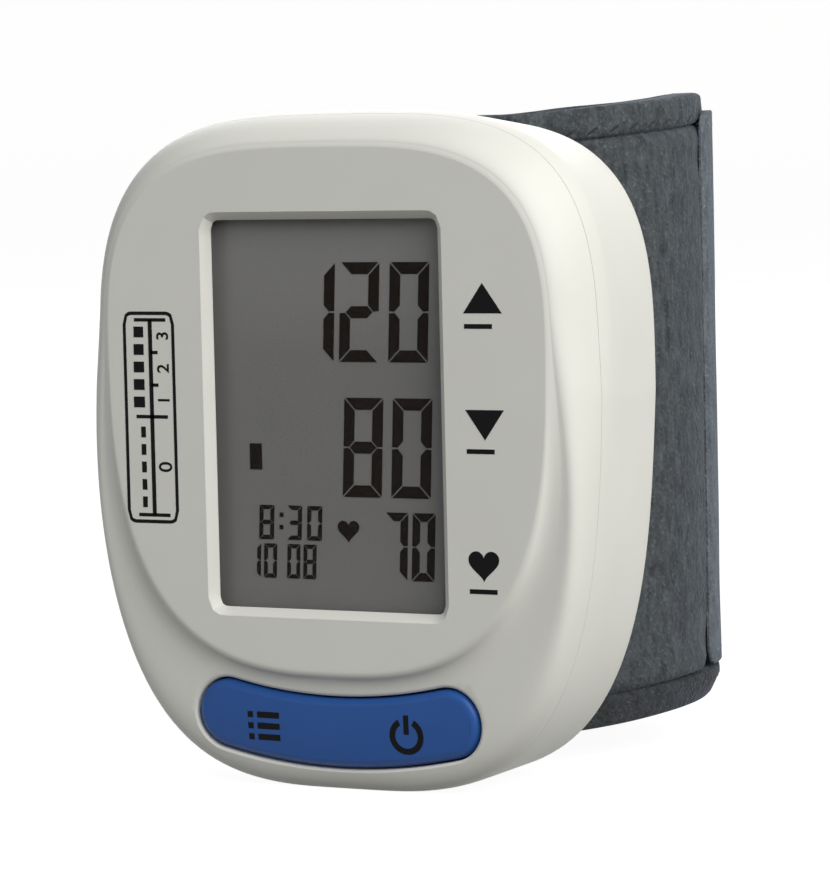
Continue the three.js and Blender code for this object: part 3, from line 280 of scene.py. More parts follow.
def wovenNylon(name, tone, paleTone, thread=0.5):
    # plain weave of fine nylon: two crossed sets of threads, one level and one slanting. They are drawn
    # about twice as far apart as thread says, because a wave repeats at 0.31 m over its scale
    material, tree, place = startPattern(name)
    level, slanted = [addNode(tree, "ShaderNodeTexWave", {"Vector": place, "Scale": perMetre(thread) / 6.28,
                                                          "Distortion": 0.6}, bands_direction=direction)
                      for direction in ("Z", "DIAGONAL")]
    height = addNode(tree, "ShaderNodeMath", {0: level.outputs["Fac"], 1: slanted.outputs["Fac"]},
                     operation="MULTIPLY")
    cloud = addNode(tree, "ShaderNodeTexNoise", {"Vector": place, "Scale": perMetre(2.5), "Detail": 4.0})
    share = addNode(tree, "ShaderNodeMath", {0: height.outputs[0], 1: cloud.outputs["Fac"]},
                    operation="MULTIPLY")
    return closeMaterial(material, {"Roughness": 0.8, "Sheen Weight": 0.2, "Sheen Roughness": 0.5},
                         tones=(share.outputs[0], tone, paleTone), bump=(height.outputs[0], 0.5, 0.0001))


def platedMetal(name, tone, roughness):
    # nickel-plated steel, drawn or stamped: streaks of 0.4 mm along the height in its gloss
    material, tree, place = startPattern(name)
    longways = addNode(tree, "ShaderNodeMapping", {"Vector": place, "Scale": (1, 1, 0.05)})
    streaks = addNode(tree, "ShaderNodeTexNoise", {"Vector": longways.outputs["Vector"],
                                                   "Scale": perMetre(0.4), "Detail": 3.0})
    return closeMaterial(material, {"Base Color": linearColour(tone), "Metallic": 1.0},
                         gloss=(streaks.outputs["Fac"], roughness - 0.06, roughness + 0.1),
                         bump=(streaks.outputs["Fac"], 0.15, 0.00002))


def clearAcrylic(name):
    # polished clear acrylic: nearly unseen, apart from its gloss
    material, tree, place = startPattern(name)
    haze = addNode(tree, "ShaderNodeTexNoise", {"Vector": place, "Scale": perMetre(6), "Detail": 3.0})
    return closeMaterial(material, {"Base Color": linearColour("#1C1E20"), "Alpha": 0.05, "IOR": 1.49},
                         gloss=(haze.outputs["Fac"], 0.04, 0.12))


def displayGlass(name):
    # liquid crystal cell with a grey reflector behind it: dull grey, faintly uneven, glossy on top, with
    # painted light towards its top
    material, tree, place = startPattern(name)
    cloud = addNode(tree, "ShaderNodeTexNoise", {"Vector": place, "Scale": perMetre(14), "Detail": 1.0})
    grain = addNode(tree, "ShaderNodeTexNoise", {"Vector": place, "Scale": perMetre(0.25), "Detail": 2.0})
    share = addNode(tree, "ShaderNodeMath", {0: cloud.outputs["Fac"], 1: grain.outputs["Fac"]},
                    operation="MULTIPLY")
    tint = addNode(tree, "ShaderNodeMix", {"Factor": share.outputs[0], "A": linearColour("#838281"),
                                           "B": linearColour("#92908E")}, data_type="RGBA")
    # painted light: the top is tinted lighter over some 14 mm, against the shadow that the window's frame
    # casts on it
    up = addNode(tree, "ShaderNodeSeparateXYZ", {"Vector": place})
    upper = addNode(tree, "ShaderNodeMapRange", {"Value": up.outputs["Z"], "From Min": 0.052,
                                                 "From Max": 0.0675})
    return closeMaterial(material, {"Specular IOR Level": 0.15},
                         tones=(upper.outputs["Result"], tint.outputs[2], "#9C9B9A"),
                         gloss=(grain.outputs["Fac"], 0.3, 0.4))


def printedInk(name, tone, paleTone, shine):
    # pad-printed ink: thin, even, slightly duller than the plastic round it
    material, tree, place = startPattern(name)
    speck = addNode(tree, "ShaderNodeTexNoise", {"Vector": place, "Scale": perMetre(0.2), "Detail": 2.0})
    return closeMaterial(material, {"Specular IOR Level": shine},
                         tones=(speck.outputs["Fac"], tone, paleTone),
                         gloss=(speck.outputs["Fac"], 0.5, 0.68))


def softRubber(name, tone, roughness):
    # moulded rubber: matte, with a dusty fine grain
    material, tree, place = startPattern(name)
    dust = addNode(tree, "ShaderNodeTexNoise", {"Vector": place, "Scale": perMetre(1.5), "Detail": 6.0})
    return closeMaterial(material, {"Roughness": roughness}, tones=(dust.outputs["Fac"], tone, "#5A5B5E"),
                         bump=(dust.outputs["Fac"], 0.3, 0.00005))


# the board's mask, the spring sheet and the cells' printed foil share the plastics' satin
whiteAbs = mouldedPlastic("moulded_warm_white_abs", "#E8E7E1", "#E3E2DA", 0.46, shine=0.35)
blueAbs = mouldedPlastic("moulded_blue_abs", "#2C5CA6", "#28569E", 0.34, grain=0.15, shine=0.25)
naturalNylon = mouldedPlastic("moulded_natural_nylon", "#DAD5C7", "#CFC9B8", 0.45)
blackPlastic = mouldedPlastic("moulded_black_plastic", "#26272A", "#1E1F22", 0.45)
springSheet = mouldedPlastic("sprung_polyester_sheet", "#CFD2D4", "#C2C6C9", 0.3)
siliconeTube = mouldedPlastic("translucent_silicone_tube", "#D6D6D0", "#CACAC2", 0.4)
hookTapeBlack = mouldedPlastic("moulded_hook_tape", "#242527", "#1B1C1E", 0.55, grain=0.6, grainDepth=0.9)
greenBoard = mouldedPlastic("solder_mask_on_glass_epoxy", "#2C6A44", "#245C3A", 0.3)
cellJacket = mouldedPlastic("printed_foil_cell_jacket", "#5B6874", "#4F5B66", 0.28)
cellBand = mouldedPlastic("pale_band_of_the_cell_jacket", "#A9AFB4", "#9CA2A8", 0.28)
acrylic = clearAcrylic("polished_clear_acrylic")
lcdGrey = displayGlass("reflective_liquid_crystal_glass")
lcdBlack = printedInk("liquid_crystal_segments", "#1A1411", "#231C18", 0.05)
blackInk = printedInk("pad_printed_black_ink", "#121214", "#1A191B", 0.08)
slateLoop = loopFabric("slate_loop_pile_fabric", "#4F5458", "#292D31", "#6E757A")
# painted light: the flap's strap is a lighter copy of the panel's loop fabric, for the light that falls on
# its side
paintedLightStrapLoop = loopFabric("slate_loop_pile_strap_painted_light", "#686F76", "#454C52", "#878F97", loop=0.5)
# painted shade: a darker copy of the loop fabric, for the lower hem that faces down into shade
hemFabricPaintedShade = loopFabric("slate_hem_fabric_painted_shade", "#383B3F", "#191B1E", "#565B5F", loop=0.5)
liningNylon = wovenNylon("slate_nylon_lining", "#343A42", "#4A515A")
stitchThread = wovenNylon("polyester_stitching_thread", "#17181A", "#2C2F32", thread=0.35)
strapThread = wovenNylon("polyester_strap_thread", "#575E64", "#6E757C", thread=0.35)
plated = platedMetal("nickel_plated_steel", "#B8BABD", 0.28)
brightZinc = platedMetal("zinc_plated_screw_steel", "#C4C5C3", 0.34)
blackRubber = softRubber("moulded_black_rubber", "#2E2F32", 0.8)
print("materials made")

# the case: one section, carried round its oval outline

case = {
    "centreUp": 2.0, "halfWidth": 33.85, "rise": 33.6, "drop": 46.9, "risePower": 3.5, "dropPower": 3.3,
    "narrowing": 0.08, "depth": 25.0, "widestDepth": 8.0, "backTaper": 1.25, "backRadius": 3.4, "wall": 2.0,
    "frontEdge": 5.57, "rearEdge": 5.64, "groove": (0.2, 0.45), "tongue": (0.23, 0.3), "lipWidth": 1.0,
    "lipInset": 0.35, "steps": 256,
}
face = {
    "centreUp": 5.0, "halfWidth": 29.4, "rise": 26.5, "drop": 36.0, "risePower": 3.3, "dropPower": 2.75,
    "narrowing": 0.0, "edgeRadius": (0.6, 1.0), "edgeTurn": (12, 62), "insideFoot": 1.0,
}
back = {**case, "halfWidth": case["halfWidth"] - case["backTaper"], "rise": case["rise"] - case["backTaper"]}
# each pair holds the value above the valley's start and the value below its end
valley = {
    "startUp": 14.0, "endUp": -22.0, "stepRun": (0.5, 2.7), "stepDepth": (0.2, 1.5), "slope": (0.5, 0.0),
    "startPull": (0.15, 0.9), "endPull": (0.15, 1.2), "power": (1.5, 4.5),
}


def ovalPoint(oval, grow, share):
    # a place on the oval, pushed out by grow, at a share of the whole turn
    turn = 2 * math.pi * share
    across, up = math.cos(turn), math.sin(turn)
    rise = (oval["rise"] if up >= 0 else oval["drop"]) + grow
    power = oval["risePower"] if up >= 0 else oval["dropPower"]
    total = abs(across / (oval["halfWidth"] + grow)) ** power + abs(up / rise) ** power
    reach = total ** (-1 / power)
    narrowing = oval["narrowing"] * max(0, -reach * up / rise)
    return Vector((reach * across * (1 - narrowing), oval["centreUp"] + reach * up))


def lowness(share):
    # 0 above the valley's start, 1 below its end
    edge = ovalPoint(face, 0, share)
    return 1 - smoothStep(edge.y, valley["endUp"], valley["startUp"])


def onFlat(flat, depth):
    return Vector((flat.x, depth, flat.y))


def rimPoint(share, along):
    # the curve from the valley's outer edge to the case's widest oval
    bottom = lowness(share)
    stepRun, stepDepth = mix(*valley["stepRun"], bottom), mix(*valley["stepDepth"], bottom)
    inner = ovalPoint(face, stepRun, share)
    outer = ovalPoint(case, 0, share)
    power = mix(*valley["power"], bottom)
    turn = along * math.pi / 2
    out = math.sin(turn) ** (2 / power)
    deep = 1 - max(0, math.cos(turn)) ** (2 / power)
    return onFlat(inner.lerp(outer, out), mix(stepDepth, case["widestDepth"], deep))


def rimShareAt(share, depth):
    # how far along that curve a depth is reached, found by halving
    below, above = 0.0, 1.0
    for _ in range(30):
        middle = (below + above) / 2
        if rimPoint(share, middle).y < depth:
            below = middle
        else:
            above = middle
    return (below + above) / 2


rimSplit = {}


def rimPart(share, along, depth, after):
    # a place on the rim, before or after the depth where the two shells meet
    key = (share, depth)
    if key not in rimSplit:
        rimSplit[key] = rimShareAt(share, depth)
    split = rimSplit[key]
    return rimPoint(share, mix(split, 1, along) if after else split * along)


def jointPoint(share, depth, after, inset, rise):
    # a place on the tongue or groove, reckoned inwards from the skin's edge
    edge = rimPart(share, 0 if after else 1, depth, after)
    inwards = (ovalPoint(case, -1, share) - ovalPoint(case, 0, share)).normalized() * inset
    return Vector((edge.x + inwards.x, edge.y - rise, edge.z + inwards.y))


def footPoint(bottom, value):
    # from the face's edge down into the valley, as one smooth curve of (run, depth)
    radius, turn = mix(*face["edgeRadius"], bottom), math.radians(mix(*face["edgeTurn"], bottom))
    start = Vector((0, radius * (1 - math.cos(turn))))
    end = Vector((mix(*valley["stepRun"], bottom), mix(*valley["stepDepth"], bottom)))
    leave = start + mix(*valley["startPull"], bottom) * Vector((math.cos(turn), math.sin(turn)))
    arrive = end - mix(*valley["endPull"], bottom) * Vector((1, mix(*valley["slope"], bottom)))
    rest = 1 - value
    return (start * rest ** 3 + leave * 3 * rest ** 2 * value + arrive * 3 * rest * value ** 2
            + end * value ** 3)


def frontStation(share, station):
    kind, value = station
    bottom = lowness(share)
    radius, turn = mix(*face["edgeRadius"], bottom), math.radians(mix(*face["edgeTurn"], bottom))
    if kind == "flat":
        return onFlat(ovalPoint(face, -radius - value, share), 0)
    if kind == "edge":
        grow = radius * (math.sin(turn * value) - math.sin(turn))
        return onFlat(ovalPoint(face, grow, share), radius * (1 - math.cos(turn * value)))
    if kind == "foot":
        run, depth = footPoint(bottom, value)
        return onFlat(ovalPoint(face, run, share), depth)
    if kind == "rim":
        return rimPart(share, value, case["frontEdge"], False)
    if kind == "lip":
        return jointPoint(share, case["frontEdge"], False, *value)
    if kind == "insideRim":
        return onFlat(ovalPoint(case, -case["wall"] - case["lipInset"], share), case["frontEdge"] - value)
    if kind == "insideFoot":
        depth = mix(*valley["stepDepth"], bottom) + case["wall"]
        return onFlat(ovalPoint(face, -face["insideFoot"], share), depth)
    return onFlat(ovalPoint(face, -case["wall"], share), case["wall"])


def rearStation(share, station):
    kind, value = station
    wall = case["depth"] - case["backRadius"]
    if kind == "rim":
        return rimPart(share, value, case["rearEdge"], True)
    if kind == "wall":
        flat = ovalPoint(case, 0, share).lerp(ovalPoint(back, 0, share), value)
        return onFlat(flat, mix(case["widestDepth"], wall, value))
    if kind == "corner":
        turn = value * math.pi / 2
        radius = case["backRadius"]
        flat = ovalPoint(back, -radius * (1 - math.cos(turn)), share)
        return onFlat(flat, wall + radius * math.sin(turn))
    if kind == "flat":
        return onFlat(ovalPoint(back, -case["backRadius"] - value, share), case["depth"])
    if kind == "lip":
        return jointPoint(share, case["rearEdge"], True, *value)
    # the inner skin lies a whole wall inside the outer one, and the core half a wall
    inset = case["wall"] / 2 if kind in ("core", "coreBack") else case["wall"]
    if kind in ("core", "inside"):
        flat = ovalPoint(case, -inset, share).lerp(ovalPoint(back, -inset, share), value)
        return onFlat(flat, mix(case["widestDepth"], wall, value))
    return onFlat(ovalPoint(back, -case["backRadius"], share), case["depth"] - inset)


frontBody = sweep(
    [("flat", 0.8), ("flat", 0.25)] + [("edge", k / 6) for k in range(7)]
    + [("foot", k / 10) for k in range(1, 10)]
    + [("rim", k / 20) for k in range(21)]
    + [("lip", (case["groove"][0], 0)), ("lip", case["groove"]),
       ("lip", (case["lipWidth"], case["groove"][1])), ("insideRim", 1.0), ("insideFoot", 0),
       ("insideFace", 0)],
    frontStation, case["steps"])
rearBody = sweep(
    [("flat", 1.2), ("flat", 0.4)] + [("corner", k / 8) for k in range(8, 0, -1)]
    + [("wall", v) for v in (1.0, 0.75, 0.5, 0.25)] + [("rim", k / 8) for k in range(8, -1, -1)]
    + [("lip", (case["tongue"][0], 0)), ("lip", case["tongue"]),
       ("lip", (case["lipWidth"], case["tongue"][1])), ("inside", 0.0), ("inside", 0.5),
       ("inside", 1.0), ("insideBack", 0)],
    rearStation, case["steps"])
print("case sections swept")

# openings of the front housing: the bevelled window and the key bar's slot

# the sections are (grow, depth), from in front of the face to behind its wall
window = {
    "width": 30.5, "height": 46.0, "corner": 1.0, "lensHalf": (17.55, 25.3), "lensDepth": (1.2, 6.0),
    "section": [(2.0, -1.0), (1.08, -0.08), (0.96, 0.01), (0.84, 0.14), (0.06, 0.94), (0.0, 1.05),
                (0.0, 4.0)],
    "steps": 256,
}
bar = {
    "halfLength": 14.8, "halfHeight": 4.15, "arcRadius": 65.8, "lowUp": -37.65, "frontDepth": 1.2,
    "tilt": 0.07, "crown": 0.3, "swell": 0.32, "edge": 1.0, "fit": 0.22, "flangeDepth": 5.3,
    "flangeBack": 5.95, "flangeReach": 1.05, "flangeInset": 4.4, "steps": 192,
    "slot": [(1.4, -1.1), (0.5, -0.05), (0.36, 0.0), (0.16, 0.1), (0.04, 0.24), (0.0, 0.45), (0.0, 7.0)],
}


def roundedFrame(width, height, radius, share, grow):
    # a place on a rounded rectangle's outline, pushed out by grow
    turn = 2 * math.pi * (share + 1 / 8)
    across, up = math.cos(turn), math.sin(turn)
    big = max(abs(across), abs(up))
    spot = Vector((across / big * width / 2, up / big * height / 2))
    core = Vector((max(radius - width / 2, min(width / 2 - radius, spot.x)),
                   max(radius - height / 2, min(height / 2 - radius, spot.y))))
    away = spot - core
    return core + away.normalized() * (radius + grow)


def windowStation(share, station):
    grow, depth = station
    return onFlat(roundedFrame(window["width"], window["height"], window["corner"], share, grow), depth)


def barSpot(share, grow):
    # a band bent round an arc, with half-round ends; places keep their share whatever the growth
    radius, half = bar["arcRadius"], math.asin(bar["halfLength"] / bar["arcRadius"])
    height = bar["halfHeight"]
    lengths = [2 * half * (radius + height), math.pi * height,
               2 * half * (radius - height), math.pi * height]
    spot = share * sum(lengths)
    part = 0
    while part < 3 and spot > lengths[part]:
        spot -= lengths[part]
        part += 1
    along = min(1, spot / lengths[part])
    centreUp = bar["lowUp"] + radius
    turn = -math.pi / 2
    if part in (0, 2):
        angle = turn + (mix(-half, half, along) if part == 0 else mix(half, -half, along))
        reach = radius + (height + grow if part == 0 else -height - grow)
        return Vector((reach * math.cos(angle), centreUp + reach * math.sin(angle)))
    side = half if part == 1 else -half
    middle = Vector((radius * math.cos(turn + side), centreUp + radius * math.sin(turn + side)))
    angle = turn + side + math.pi * along + (0 if part == 1 else math.pi)
    return middle + (height + grow) * Vector((math.cos(angle), math.sin(angle)))


def barFront(flat):
    # leaning back towards its foot, and swollen along and across its middle
    tilt = bar["tilt"] * (bar["lowUp"] - flat.y)
    across = math.hypot(flat.x, bar["lowUp"] + bar["arcRadius"] - flat.y) - bar["arcRadius"]
    return (bar["frontDepth"] - bar["swell"] / 2 + tilt + bar["crown"] * (flat.x / bar["halfLength"]) ** 2
            + bar["swell"] * (across / bar["halfHeight"]) ** 2)


shellTree = BVHTree.FromBMesh(frontBody)
deepest = 3  # a station deeper than this is reckoned from the raised face, not from the surface round it


def shellFront(flat):
    # the depth of the front shell's skin, looked for from in front of it
    hit = shellTree.ray_cast(Vector((flat.x, -20, flat.y)), Vector((0, 1, 0)))
    return hit[0].y if hit[0] else 0


def slotStation(share, station):
    grow, over = station
    flat = barSpot(share, bar["fit"] + grow)
    depth = over if over > deepest else shellFront(barSpot(share, bar["fit"] + 0.3)) + over
    return onFlat(flat, depth)


windowCut = sweep(window["section"], windowStation, window["steps"])
slotCut = sweep(bar["slot"], slotStation, bar["steps"])
footCut = roundedBlock((-far, -far, -far), (far, far, -footBelowDisplay))
footCutRear = footCut.copy()
lensAcross, lensUp = window["lensHalf"]
lensFront, lensBack = window["lensDepth"]
lensRoom = roundedBlock((-lensAcross, lensFront, -lensUp), (lensAcross, lensBack, lensUp))
frontBody = combined(frontBody, [("DIFFERENCE", cut) for cut in (windowCut, lensRoom, slotCut, footCut)])
addPiece("front_housing", frontBody, whiteAbs, "case", ["front_shell"], 28)
print("front housing cut")

# the rear housing: saddle, wells, battery bay, cover opening

rear = {
    "saddleRadius": 25.1, "saddleSteps": 256, "ringCentre": 48.6, "wellRadius": 2.4, "wellFloor": 20.6,
    "wellBack": 27.0, "tubeRadius": 2.95, "tubeFront": 12.15, "screwRadius": 1.4, "screwFront": 9.0,
    "bosses": ((-20.4, 26.8), (20.4, 26.8), (-22.45, -31), (22.45, -31)),
    "bayOuter": (-31.5, -31.2), "bayInner": -6.95, "bayBottom": -26.9, "bayTop": 22.9,
    "bayFloor": (10.65, 11.35), "bayBack": (24.0, 23.0), "bayWall": 1.0, "bayCorner": 0.4,
    "coverInner": -8.9, "coverFront": 12.0, "coverLedge": 0.5, "gap": 0.3,
    "padReach": 7.6, "padDepth": (21.7, 24.0), "padUps": (-41.3, 34.6),
    "postAcross": 2.9, "postUps": (8, -26), "postHole": 1.75, "tubeUp": 20, "tubeHole": 2.35,
    "holeDepth": (18.0, 30.0),
}


def coverBlock(inset):
    return roundedBlock((-far, rear["coverFront"] + inset, rear["bayBottom"] + rear["coverLedge"] + inset),
                        (rear["coverInner"] - inset, far, rear["bayTop"] - rear["coverLedge"] - inset))


wellCuts = []
for x, z in rear["bosses"]:
    wellCuts.append(("DIFFERENCE", rod(rear["wellRadius"], x, z, rear["wellFloor"], rear["wellBack"])))
    wellCuts.append(("DIFFERENCE", rod(rear["screwRadius"], x, z, rear["screwFront"], rear["wellBack"])))
rearSolid = rearBody.copy()
# the room inside the outer skin: bay, screw tubes and the pad behind the cuff are trimmed to it
rearCore = sweep([("core", 0.0), ("core", 1.0), ("coreBack", 0)], rearStation, case["steps"])
coverPanel = combined(rearSolid, [("INTERSECT", coverBlock(rear["gap"]))])
tubes = [("UNION", rod(rear["tubeRadius"], x, z, rear["tubeFront"], rear["bayBack"][0]))
         for x, z in rear["bosses"]]
bayEnd = rear["bayInner"] + rear["bayWall"]
bayOutside = roundedBlock((rear["bayOuter"][0], rear["bayFloor"][0], rear["bayBottom"] - rear["bayWall"]),
                          (bayEnd, rear["bayBack"][0], rear["bayTop"] + rear["bayWall"]))
bayInside = roundedBlock((rear["bayOuter"][1], rear["bayFloor"][1], rear["bayBottom"]),
                         (rear["bayInner"], rear["bayBack"][1], rear["bayTop"]), rear["bayCorner"], 3)
# the pad behind the cuff's stay is as high as the cuff
pad = roundedBlock((bayEnd, rear["padDepth"][0], rear["padUps"][0]),
                   (rear["padReach"], rear["padDepth"][1], rear["padUps"][1]))
fittings = combined(bayOutside, [("DIFFERENCE", bayInside), *tubes, ("UNION", pad), ("INTERSECT", rearCore)])
saddle = uprightRod(rear["saddleRadius"], 0, rear["ringCentre"], -far, far, rear["saddleSteps"])
pegHoles = [rod(rear["postHole"], side * rear["postAcross"], z, *rear["holeDepth"])
            for side in (-1, 1) for z in rear["postUps"]]
airHole = rod(rear["tubeHole"], 0, rear["tubeUp"], *rear["holeDepth"])
rearBody = combined(rearBody, [("UNION", fittings), *wellCuts])
rearBody = combined(rearBody, [("DIFFERENCE", cut)
                               for cut in (saddle, coverBlock(0), *pegHoles, airHole, footCutRear)])
addPiece("rear_housing", rearBody, whiteAbs, "case", ["rear_shell"], 32)

grip = {"count": 5, "first": -29.2, "pitch": 1.8, "width": 0.9, "length": 12.0, "depth": (24.0, 25.5),
        "up": -2.0, "edge": 0.22}
tongue = {"ups": (-15.7, 11.7), "width": 7.0, "depth": (22.8, 23.5), "root": -13.0, "reach": 1.7,
          "edge": 0.15}
added = []
for k in range(grip["count"]):
    x = grip["first"] + k * grip["pitch"]
    added.append(roundedBlock((x, grip["depth"][0], grip["up"] - grip["length"] / 2),
                              (x + grip["width"], grip["depth"][1], grip["up"] + grip["length"] / 2),
                              grip["edge"], 3))
for up in tongue["ups"]:
    added.append(roundedBlock((tongue["root"], tongue["depth"][0], up - tongue["width"] / 2),
                              (rear["coverInner"] + tongue["reach"], tongue["depth"][1],
                               up + tongue["width"] / 2), tongue["edge"], 2))
coverBody = combined(coverPanel, [("UNION", block) for block in added])
addPiece("battery_door", coverBody, whiteAbs, "cover", ["battery_cover"], 32)
print("rear housing and battery door cut")

# the key bar: crowned, with soft edges, its flange and its lug


def barStation(share, station):
    grow, sink = station
    flat = barSpot(share, grow)
    depth = sink if sink > deepest else barFront(flat) + sink
    return onFlat(flat, depth)


lugShape = {"half": 1.6, "halfUp": 1.5, "depth": (5.4, 8.05), "edge": 0.15, "pinRadius": 0.95,
            "pinDepth": 7.1, "mouth": 0.55, "cutUps": (-45, -30)}
barTop = [(-4.0, 0), (-3.2, 0), (-2.4, 0), (-1.6, 0), (-0.95, 0)]
barEdge = [(-bar["edge"] * (1 - math.sin(k * math.pi / 12)), bar["edge"] * (1 - math.cos(k * math.pi / 12)))
           for k in range(7)]
barBody = sweep(barTop + barEdge + [(0, 1.4), (0, bar["flangeDepth"] + 0.3)], barStation, bar["steps"])
reach, depth = bar["flangeReach"], bar["flangeDepth"]
flange = sweep([(reach - 0.1, depth), (reach, depth + 0.1), (reach, bar["flangeBack"])], barStation,
               bar["steps"])
# the flange keeps clear of the shell's wall
flangeLimit = sweep([4, 7], lambda share, depth: onFlat(ovalPoint(case, -bar["flangeInset"], share), depth),
                    128)
cutLow, cutHigh = lugShape["cutUps"]
pinHole = uprightRod(lugShape["pinRadius"], 0, lugShape["pinDepth"], cutLow, cutHigh, 32)
pinMouth = roundedBlock((-lugShape["mouth"], lugShape["pinDepth"], cutLow), (lugShape["mouth"], 10, cutHigh))
lug = roundedBlock((-lugShape["half"], lugShape["depth"][0], bar["lowUp"] - lugShape["halfUp"]),
                   (lugShape["half"], lugShape["depth"][1], bar["lowUp"] + lugShape["halfUp"]),
                   lugShape["edge"], 2)
lug = combined(lug, [("DIFFERENCE", pinHole), ("DIFFERENCE", pinMouth)])
barBody = combined(barBody, [("UNION", combined(flange, [("INTERSECT", flangeLimit)])), ("UNION", lug)])
addPiece("key_bar_cap", barBody, blueAbs, "key_bar", ["button_bar"], 32)
print("key bar made")

# the display: segments between the window and the glass

glassFront = 2.8
segmentFront, segmentBack = glassFront - 0.06, glassFront - 0.02
digits = {"0": "abcdef", "1": "bc", "2": "abged", "3": "abgcd", "7": "abc", "8": "abcdefg"}


def thinPlate(corners, front, back):
    # a flat plate with corners (right, up)
    bm = bmesh.new()
    verts = [bm.verts.new((x, front, z)) for x, z in corners]
    made = bmesh.ops.extrude_face_region(bm, geom=[bm.faces.new(verts)])["geom"]
    bmesh.ops.translate(bm, verts=vertsOf(made), vec=(0, back - front, 0))
    bmesh.ops.recalc_face_normals(bm, faces=bm.faces[:])
    return bm


def segmentCorners(which, wide, high, t, g):
    # the usual letters of the seven segments; t is the stroke and g the gap between two of them
    half = high / 2
    shapes = {
        "a": [(g, high), (wide - g, high), (wide - t - g, high - t), (t + g, high - t)],
        "d": [(g, 0), (t + g, t), (wide - t - g, t), (wide - g, 0)],
        "b": [(wide, high - g), (wide, half + g), (wide - t / 2, half + g / 2),
              (wide - t, half + t / 2 + g), (wide - t, high - t - g)],
        "c": [(wide, g), (wide - t, t + g), (wide - t, half - t / 2 - g), (wide - t / 2, half - g / 2),
              (wide, half - g)],
        "f": [(0, high - g), (t, high - t - g), (t, half + t / 2 + g), (t / 2, half + g / 2), (0, half + g)],
        "e": [(0, g), (0, half - g), (t / 2, half - g / 2), (t, half - t / 2 - g), (t, t + g)],
        "g": [(t / 2 + g, half), (t + g, half + t / 2), (wide - t - g, half + t / 2),
              (wide - t / 2 - g, half), (wide - t - g, half - t / 2), (t + g, half - t / 2)],
    }
    return shapes[which]


def sevenSegment(text, left, bottom, width, height, stroke, pitch, gap):
    # the digits lean a little, and a colon is two squares
    slant, dots, blankShare = 0.045, (0.3, 0.66), 0.45
    bm = bmesh.new()
    x = left
    for letter in text:
        if letter == " ":
            x += pitch * blankShare
            continue
        if letter == ":":
            shapes = [[(0, height * up), (stroke, height * up), (stroke, height * up + stroke),
                       (0, height * up + stroke)] for up in dots]
        else:
            shapes = [segmentCorners(which, width, height, stroke, gap) for which in digits[letter]]
        for corners in shapes:
            corners = [(x + across + slant * up, bottom + up) for across, up in corners]
            joinInto(bm, thinPlate(corners, segmentFront, segmentBack))
        x += 2 * stroke if letter == ":" else pitch
    return bm


def heartShape(x, z, size, front, back):
    # the usual heart curve, traced on a circle of corners
    bm = bmesh.new()
    ring = bmesh.ops.create_circle(bm, segments=40, radius=1, cap_ends=True)["verts"]
    for v in ring:
        turn = math.atan2(v.co.y, v.co.x)
        v.co = Vector((x + size * 0.5 * math.sin(turn) ** 3, front,
                       z + size * (13 * math.cos(turn) - 5 * math.cos(2 * turn) - 2 * math.cos(3 * turn)
                                   - math.cos(4 * turn)) / 32))
    made = bmesh.ops.extrude_face_region(bm, geom=bm.faces[:])["geom"]
    bmesh.ops.translate(bm, verts=vertsOf(made), vec=(0, back - front, 0))
    bmesh.ops.recalc_face_normals(bm, faces=bm.faces[:])
    return bm


largeDigit = {"width": 5.2, "height": 11.7, "stroke": 1.4, "gap": 0.13}
readings = [
    {"text": "1", "left": -5.1, "bottom": 6.2, "pitch": 6.6, **largeDigit},
    {"text": "20", "left": 0.85, "bottom": 6.2, "pitch": 6.6, **largeDigit},
    {"text": "80", "left": 0.95, "bottom": -9.7, "pitch": 6.5, **largeDigit},
    {"text": "70", "left": 6.3, "bottom": -19.4, "pitch": 3.6, "width": 3.0, "height": 8.0, "stroke": 1.0,
     "gap": 0.1},
    {"text": "8:30", "left": -10.6, "bottom": -15.0, "pitch": 2.75, "width": 2.0, "height": 4.1,
     "stroke": 0.52, "gap": 0.06},
    {"text": "10 08", "left": -12.3, "bottom": -19.6, "pitch": 2.2, "width": 1.75, "height": 4.1,
     "stroke": 0.5, "gap": 0.06},
]
pulseMark = {"across": 1.6, "up": -13.6, "size": 2.9}
levelMark = {"left": -11.6, "right": -9.95, "top": -3.6, "bottom": -6.7}
lcdMarks = bmesh.new()
joinInto(lcdMarks, *[sevenSegment(**reading) for reading in readings],
         heartShape(pulseMark["across"], pulseMark["up"], pulseMark["size"], segmentFront, segmentBack),
         thinPlate([(levelMark["left"], levelMark["top"]), (levelMark["right"], levelMark["top"]),
                    (levelMark["right"], levelMark["bottom"]), (levelMark["left"], levelMark["bottom"])],
                   segmentFront, segmentBack))
addPiece("display_segments", lcdMarks, lcdBlack, "case")

# printed marks on the raised face: generic pictograms and a plain scale

inkFront, inkBack = -0.025, 0.01


def inkPlate(corners):
    return thinPlate(corners, inkFront, inkBack)


def strip(x0, z0, x1, z1, width):
    # a straight line of ink from one place to another
    along = Vector((x1 - x0, z1 - z0)).normalized() * width / 2
    side = Vector((-along.y, along.x))
    a, b = Vector((x0, z0)), Vector((x1, z1))
    return inkPlate([tuple(a + side), tuple(b + side), tuple(b - side), tuple(a - side)])


def frameStrip(x0, z0, x1, z1, radius, width):
    # a rounded frame line: four rings round the same outline
    middle = Vector(((x0 + x1) / 2, (z0 + z1) / 2))

    def station(share, k):
        grow, depth = [(0, inkFront), (-width, inkFront), (-width, inkBack), (0, inkBack), (0, inkFront)][k]
        flat = middle + roundedFrame(x1 - x0, z1 - z0, radius, share, grow)
        return onFlat(flat, depth)

    bm = sweep([0, 1, 2, 3, 4], station, 96, capStart=False, capEnd=False)
    bmesh.ops.remove_doubles(bm, verts=bm.verts[:], dist=0.0001)
    bmesh.ops.recalc_face_normals(bm, faces=bm.faces[:])
    return bm


